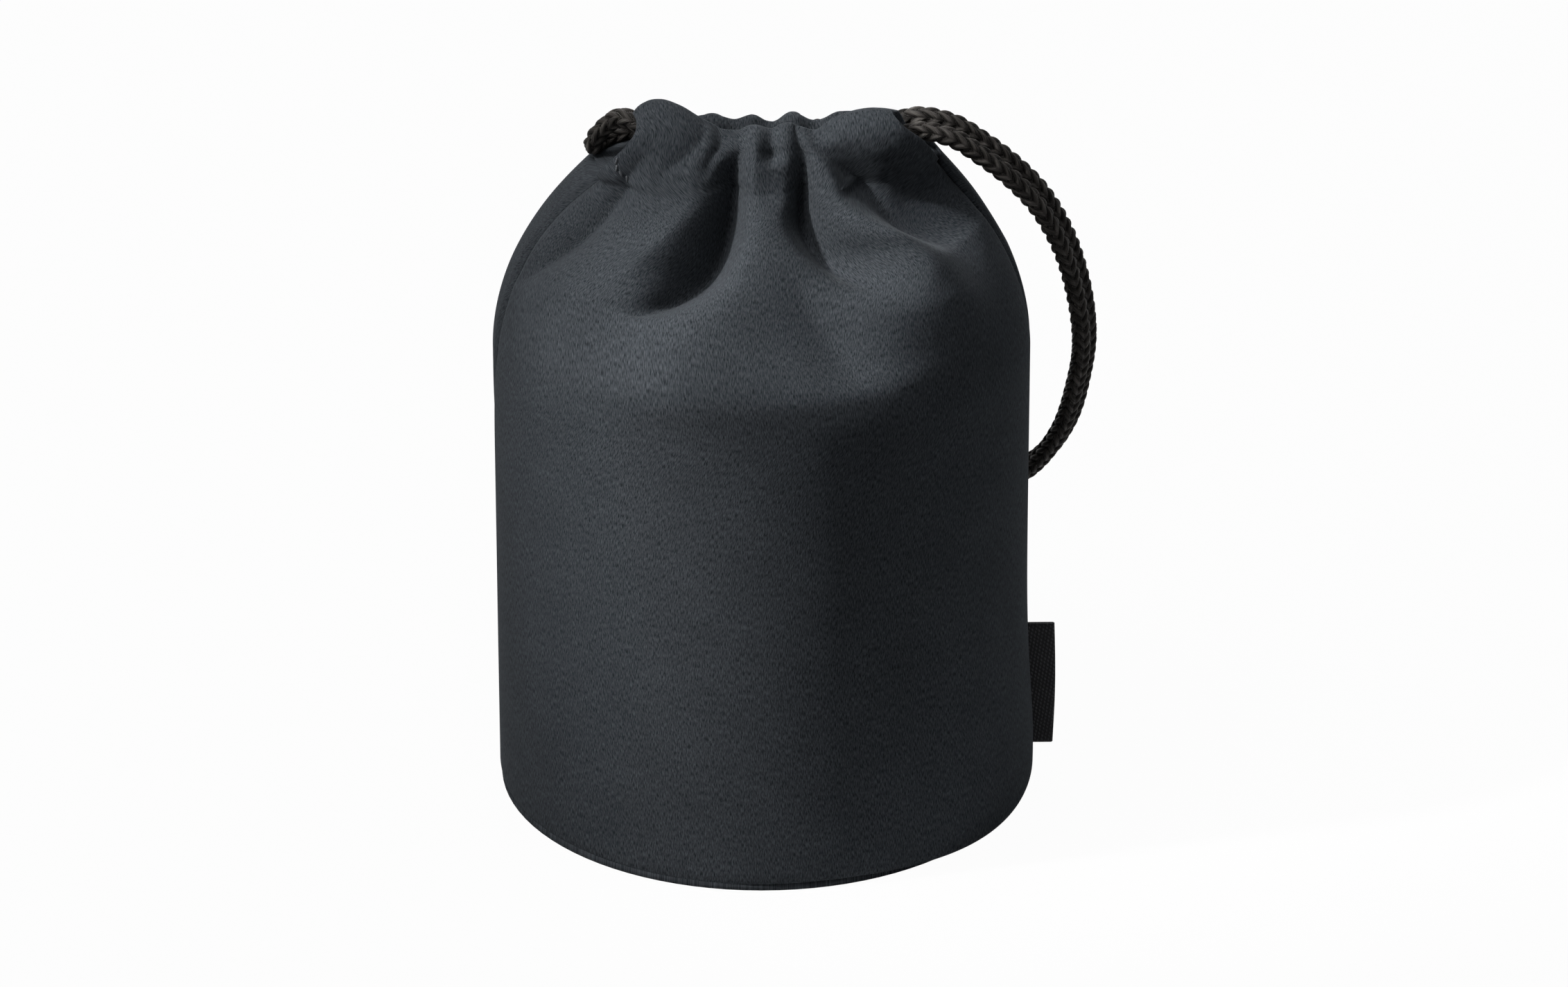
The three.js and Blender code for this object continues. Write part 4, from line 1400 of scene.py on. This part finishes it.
# %% Lining
LINING_RADIUS = 45.5
LINING_LEVEL = 5.4
LINING_CLOTH = 0.5
lining = ringed_disc("base_lining_disc", LINING_RADIUS, level=LINING_LEVEL, bow=0.3, rim_lift=-0.3)
thicken(lining, LINING_CLOTH)
dress(lining, lining_finish, "lining", "base_lining")
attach(lining, "pouch")
print(lining.name, len(lining.data.polygons), "faces")

# %% [markdown]
# ## One stitch, many times
#
# A stitch is a short plump thread that dives into the cloth at both ends. A wavy thread could be drawn,
# but only its upper half would show. So one stitch is modelled from a ball that is stretched, and the
# others are copies laid along the seams. All stitches of a seam share one mesh.

# %% Stitches
STITCH_WIDTH = 0.46
STITCH_HEIGHT = 0.4
# How far to look ahead and behind for the direction of a seam
LOOK_AHEAD = 0.3

bpy.ops.object.select_all(action="DESELECT")
bpy.ops.mesh.primitive_uv_sphere_add(segments=8, ring_count=6, radius=0.5)
model_stitch = bpy.context.object
stitch_points = np.array([v.co for v in model_stitch.data.vertices])
# A ball's faces come in no fixed order, so each starts at its lowest corner and they are sorted
stitch_faces = []
for face in model_stitch.data.polygons:
    corners = list(face.vertices)
    first = corners.index(min(corners))
    stitch_faces.append(corners[first:] + corners[:first])
stitch_faces.sort()
bpy.data.objects.remove(model_stitch)


def stitch_row(name, places, along, out, length):
    """Copies of one stitch at places, each turned along the seam and lying on its surface."""
    along = unit(along)
    out = unit(out - along * np.sum(out * along, axis=1, keepdims=True))
    across = np.cross(out, along)
    shaped = stitch_points * (length, STITCH_WIDTH, STITCH_HEIGHT)
    points = [p + shaped @ np.stack(axes) for p, *axes in zip(places, along, across, out)]
    faces = []
    for k in range(len(places)):
        faces += [[corner + k * len(stitch_points) for corner in face] for face in stitch_faces]
    mesh = bpy.data.meshes.new(name)
    mesh.from_pydata((np.concatenate(points) * MM).tolist(), [], faces)
    mesh.shade_smooth()
    row = bpy.data.objects.new(name, mesh)
    scene.collection.objects.link(row)
    return row


def evenly(line, pitch, *others):
    """Points at an even pitch along a line, with anything else that follows it, and their directions."""
    reach = length_along(line)
    at = np.arange(pitch / 2, reach[-1], pitch)
    picked = [at_distance(at, reach, rows) for rows in (line, *others)]
    ahead = at_distance(at + LOOK_AHEAD, reach, line)
    behind = at_distance(at - LOOK_AHEAD, reach, line)
    return (*picked, ahead - behind)


print("one stitch has", len(stitch_faces), "faces")

# %% [markdown]
# ## Side seams
#
# Inside, the raw edges of both side seams are bound with tape, and a row of stitches holds it. The tape
# could be drawn by itself, but it has to follow the cloth, so it takes the edge columns of both panels
# and is set a little way in.

# %% Side seam tapes
TAPE_COLUMNS = 6
TAPE_CLOTH = 0.5
TAPE_GAP = 0.3
TAPE_LOW_Z = 6.4
TAPE_HIGH_Z = 112.0
SEAM_STITCH = 2.0
SEAM_STITCH_PITCH = 2.6
STITCH_CLEAR = 0.1
square = {name: facing_out(points) for name, points in panel_points.items()}
heights = panel_points["front"][:BODY_ROWS, COLUMNS // 2, 2]
tape_rows = np.nonzero((heights > TAPE_LOW_Z) & (heights < TAPE_HIGH_Z))[0]


def seam_tape(side):
    """Binding on the inside of a side seam, across the edges of both panels."""
    inset = CLOTH + TAPE_GAP
    under = {name: (points - square[name] * inset)[tape_rows] for name, points in panel_points.items()}
    if side == "left":
        near, far = under["back"][:, -TAPE_COLUMNS:], under["front"][:, :TAPE_COLUMNS]
    else:
        near, far = under["front"][:, -TAPE_COLUMNS:], under["back"][:, :TAPE_COLUMNS]
    return np.concatenate((near, far), axis=1)


for side in ("left", "right"):
    strip = seam_tape(side)
    tape = thicken(grid_piece(side + "_binding", strip), TAPE_CLOTH)
    dress(tape, tape_finish, "tape", side + "_seam_tape")
    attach(tape, "pouch")
    middle = (strip[:, TAPE_COLUMNS] + strip[:, TAPE_COLUMNS - 1]) / 2
    out = facing_out(strip)[:, TAPE_COLUMNS]
    places, facing, along = evenly(middle - out * (TAPE_CLOTH + STITCH_CLEAR), SEAM_STITCH_PITCH, out)
    row = stitch_row(side + "_seam_stitches", places, along, facing, SEAM_STITCH)
    dress(row, thread_finish, "thread", side + "_seam_thread")
    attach(row, "pouch")
    print(tape.name, "and", len(places), "stitches")

# %% [markdown]
# ## Base seam
#
# The seam round the base is bound too. Its tape is folded over the edges, so it is a flat ring with
# round sides. A ring is added whole and pressed flat in edit mode, and the same stitch goes round it.

# %% Base seam tape
BINDING_RADIUS = 44.25
BINDING_Z = 2.55
BINDING_WIDTH = 1.1
BINDING_FLATNESS = 0.4
BASE_STITCH_RISE = 0.7
LOOP_STEPS = 360
bpy.ops.object.select_all(action="DESELECT")
bpy.ops.mesh.primitive_torus_add(
    major_segments=128,
    minor_segments=14,
    major_radius=BINDING_RADIUS * MM,
    minor_radius=BINDING_WIDTH * MM,
)
ring = bpy.context.object
ring.name = "base_binding"
bpy.ops.object.mode_set(mode="EDIT")
bpy.ops.mesh.select_all(action="SELECT")
bpy.ops.transform.resize(value=(1, 1, BINDING_FLATNESS))
bpy.ops.transform.translate(value=(0, 0, BINDING_Z * MM))
bpy.ops.object.mode_set(mode="OBJECT")
ring.data.shade_smooth()
dress(ring, tape_finish, "tape", "base_seam_tape")
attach(ring, "pouch")

turn = np.linspace(0, 2 * np.pi, LOOP_STEPS + 1)
level = np.full(len(turn), BINDING_Z + BASE_STITCH_RISE)
loop = np.stack((BINDING_RADIUS * np.cos(turn), BINDING_RADIUS * np.sin(turn), level), axis=1)
upright = np.broadcast_to((0.0, 0.0, 1.0), loop.shape)
places, facing, along = evenly(loop, SEAM_STITCH_PITCH, upright)
row = stitch_row("base_seam_stitches", places, along, facing, SEAM_STITCH)
dress(row, thread_finish, "thread", "base_seam_thread")
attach(row, "pouch")
print(ring.name, "and", len(places), "stitches")

# %% [markdown]
# ## Stitches under the casings
#
# One row of stitches under each casing keeps the cord in its tunnel. The nap hides most of it: only at
# the left ear, where the row turns up to the end of the slit, do a few stitches catch the light. A
# groove could stand for it, but it would leave out those few. So the row is made of real stitches that
# lie sunk in the cloth and rise a little at that end.

# %% Casing stitches
CASING_STITCH = 1.3
CASING_PITCH = 1.9
EAR_COLUMNS = 26
EAR_ROWS = 9
EAR_CURVE = 1.5
EAR_SHOWS = 0.25
BARE_COLUMNS = 3
SUNK = 0.5
PROUD = 0.1


def casing_line(name):
    """The row of stitches on a panel, and the way out of the cloth there."""
    columns = np.arange(BARE_COLUMNS, COLUMNS - BARE_COLUMNS)
    if name == "back":
        columns = columns[::-1]
    at_ear = np.clip(1 - columns / EAR_COLUMNS, 0, 1) if name == "front" else np.zeros(len(columns))
    rows = BODY_ROWS + np.round(EAR_ROWS * at_ear**EAR_CURVE).astype(int)
    out = square[name][rows, columns]
    lift = np.where(at_ear > EAR_SHOWS, PROUD, -SUNK)[:, None]
    return panel_points[name][rows, columns] + out * lift, out


for side_name in ("front", "back"):
    line, out = casing_line(side_name)
    places, facing, along = evenly(line, CASING_PITCH, out)
    row = stitch_row(side_name + "_casing_stitches", places, along, facing, CASING_STITCH)
    dress(row, thread_finish, "thread", side_name + "_casing_thread")
    bend_at_stitches(row)
    print(row.name, len(places), "stitches")

# %% [markdown]
# ## The label
#
# A short plain ribbon is folded in two and caught in the right seam near the foot. It could be a thin
# block, but then its fold and its two layers would not show from above, so it is one strip that goes
# out, round the fold and back.

# %% Label
LABEL_LOW_Z = 4.9
LABEL_HEIGHT = 24.0
LABEL_ROOT_X = 46.4
LABEL_FOLD_X = 52.2
LABEL_HALF_GAP = 0.44
LABEL_CLOTH = 0.36
LABEL_ROWS = 40
LABEL_STEPS = 16
LABEL_FOLD_STEPS = 11
LABEL_WAVE = 0.16
LABEL_WAVES = 1.3
LABEL_WAVE_START = 0.6
LABEL_WAVE_REACH = 6
LABEL_BULGE = 0.3


def label_section():
    """Out along the front layer, round the fold and back along the other."""
    out = [(x, -LABEL_HALF_GAP) for x in np.linspace(LABEL_ROOT_X, LABEL_FOLD_X, LABEL_STEPS)]
    turn = np.linspace(-np.pi / 2, np.pi / 2, LABEL_FOLD_STEPS)[1:-1]
    fold = [(LABEL_FOLD_X + LABEL_HALF_GAP * math.cos(a), LABEL_HALF_GAP * math.sin(a)) for a in turn]
    return np.array(out + fold + [(x, -y) for x, y in out[::-1]])


section = label_section()
level = np.linspace(0, 1, LABEL_ROWS)[:, None]
wave = LABEL_WAVE * np.sin(2 * np.pi * level * LABEL_WAVES + LABEL_WAVE_START)
wave = wave * (section[None, :, 0] - LABEL_ROOT_X) / LABEL_WAVE_REACH
x = section[None, :, 0] + LABEL_BULGE * np.sin(np.pi * level)
y = section[None, :, 1] + wave
z = np.broadcast_to(LABEL_LOW_Z + LABEL_HEIGHT * level, x.shape)
label = thicken(grid_piece("label_ribbon", np.stack((x, y, z), axis=-1)), LABEL_CLOTH)
dress(label, label_finish, "label", "label_tab")
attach(label, "label")
print(label.name, len(label.data.polygons), "faces")
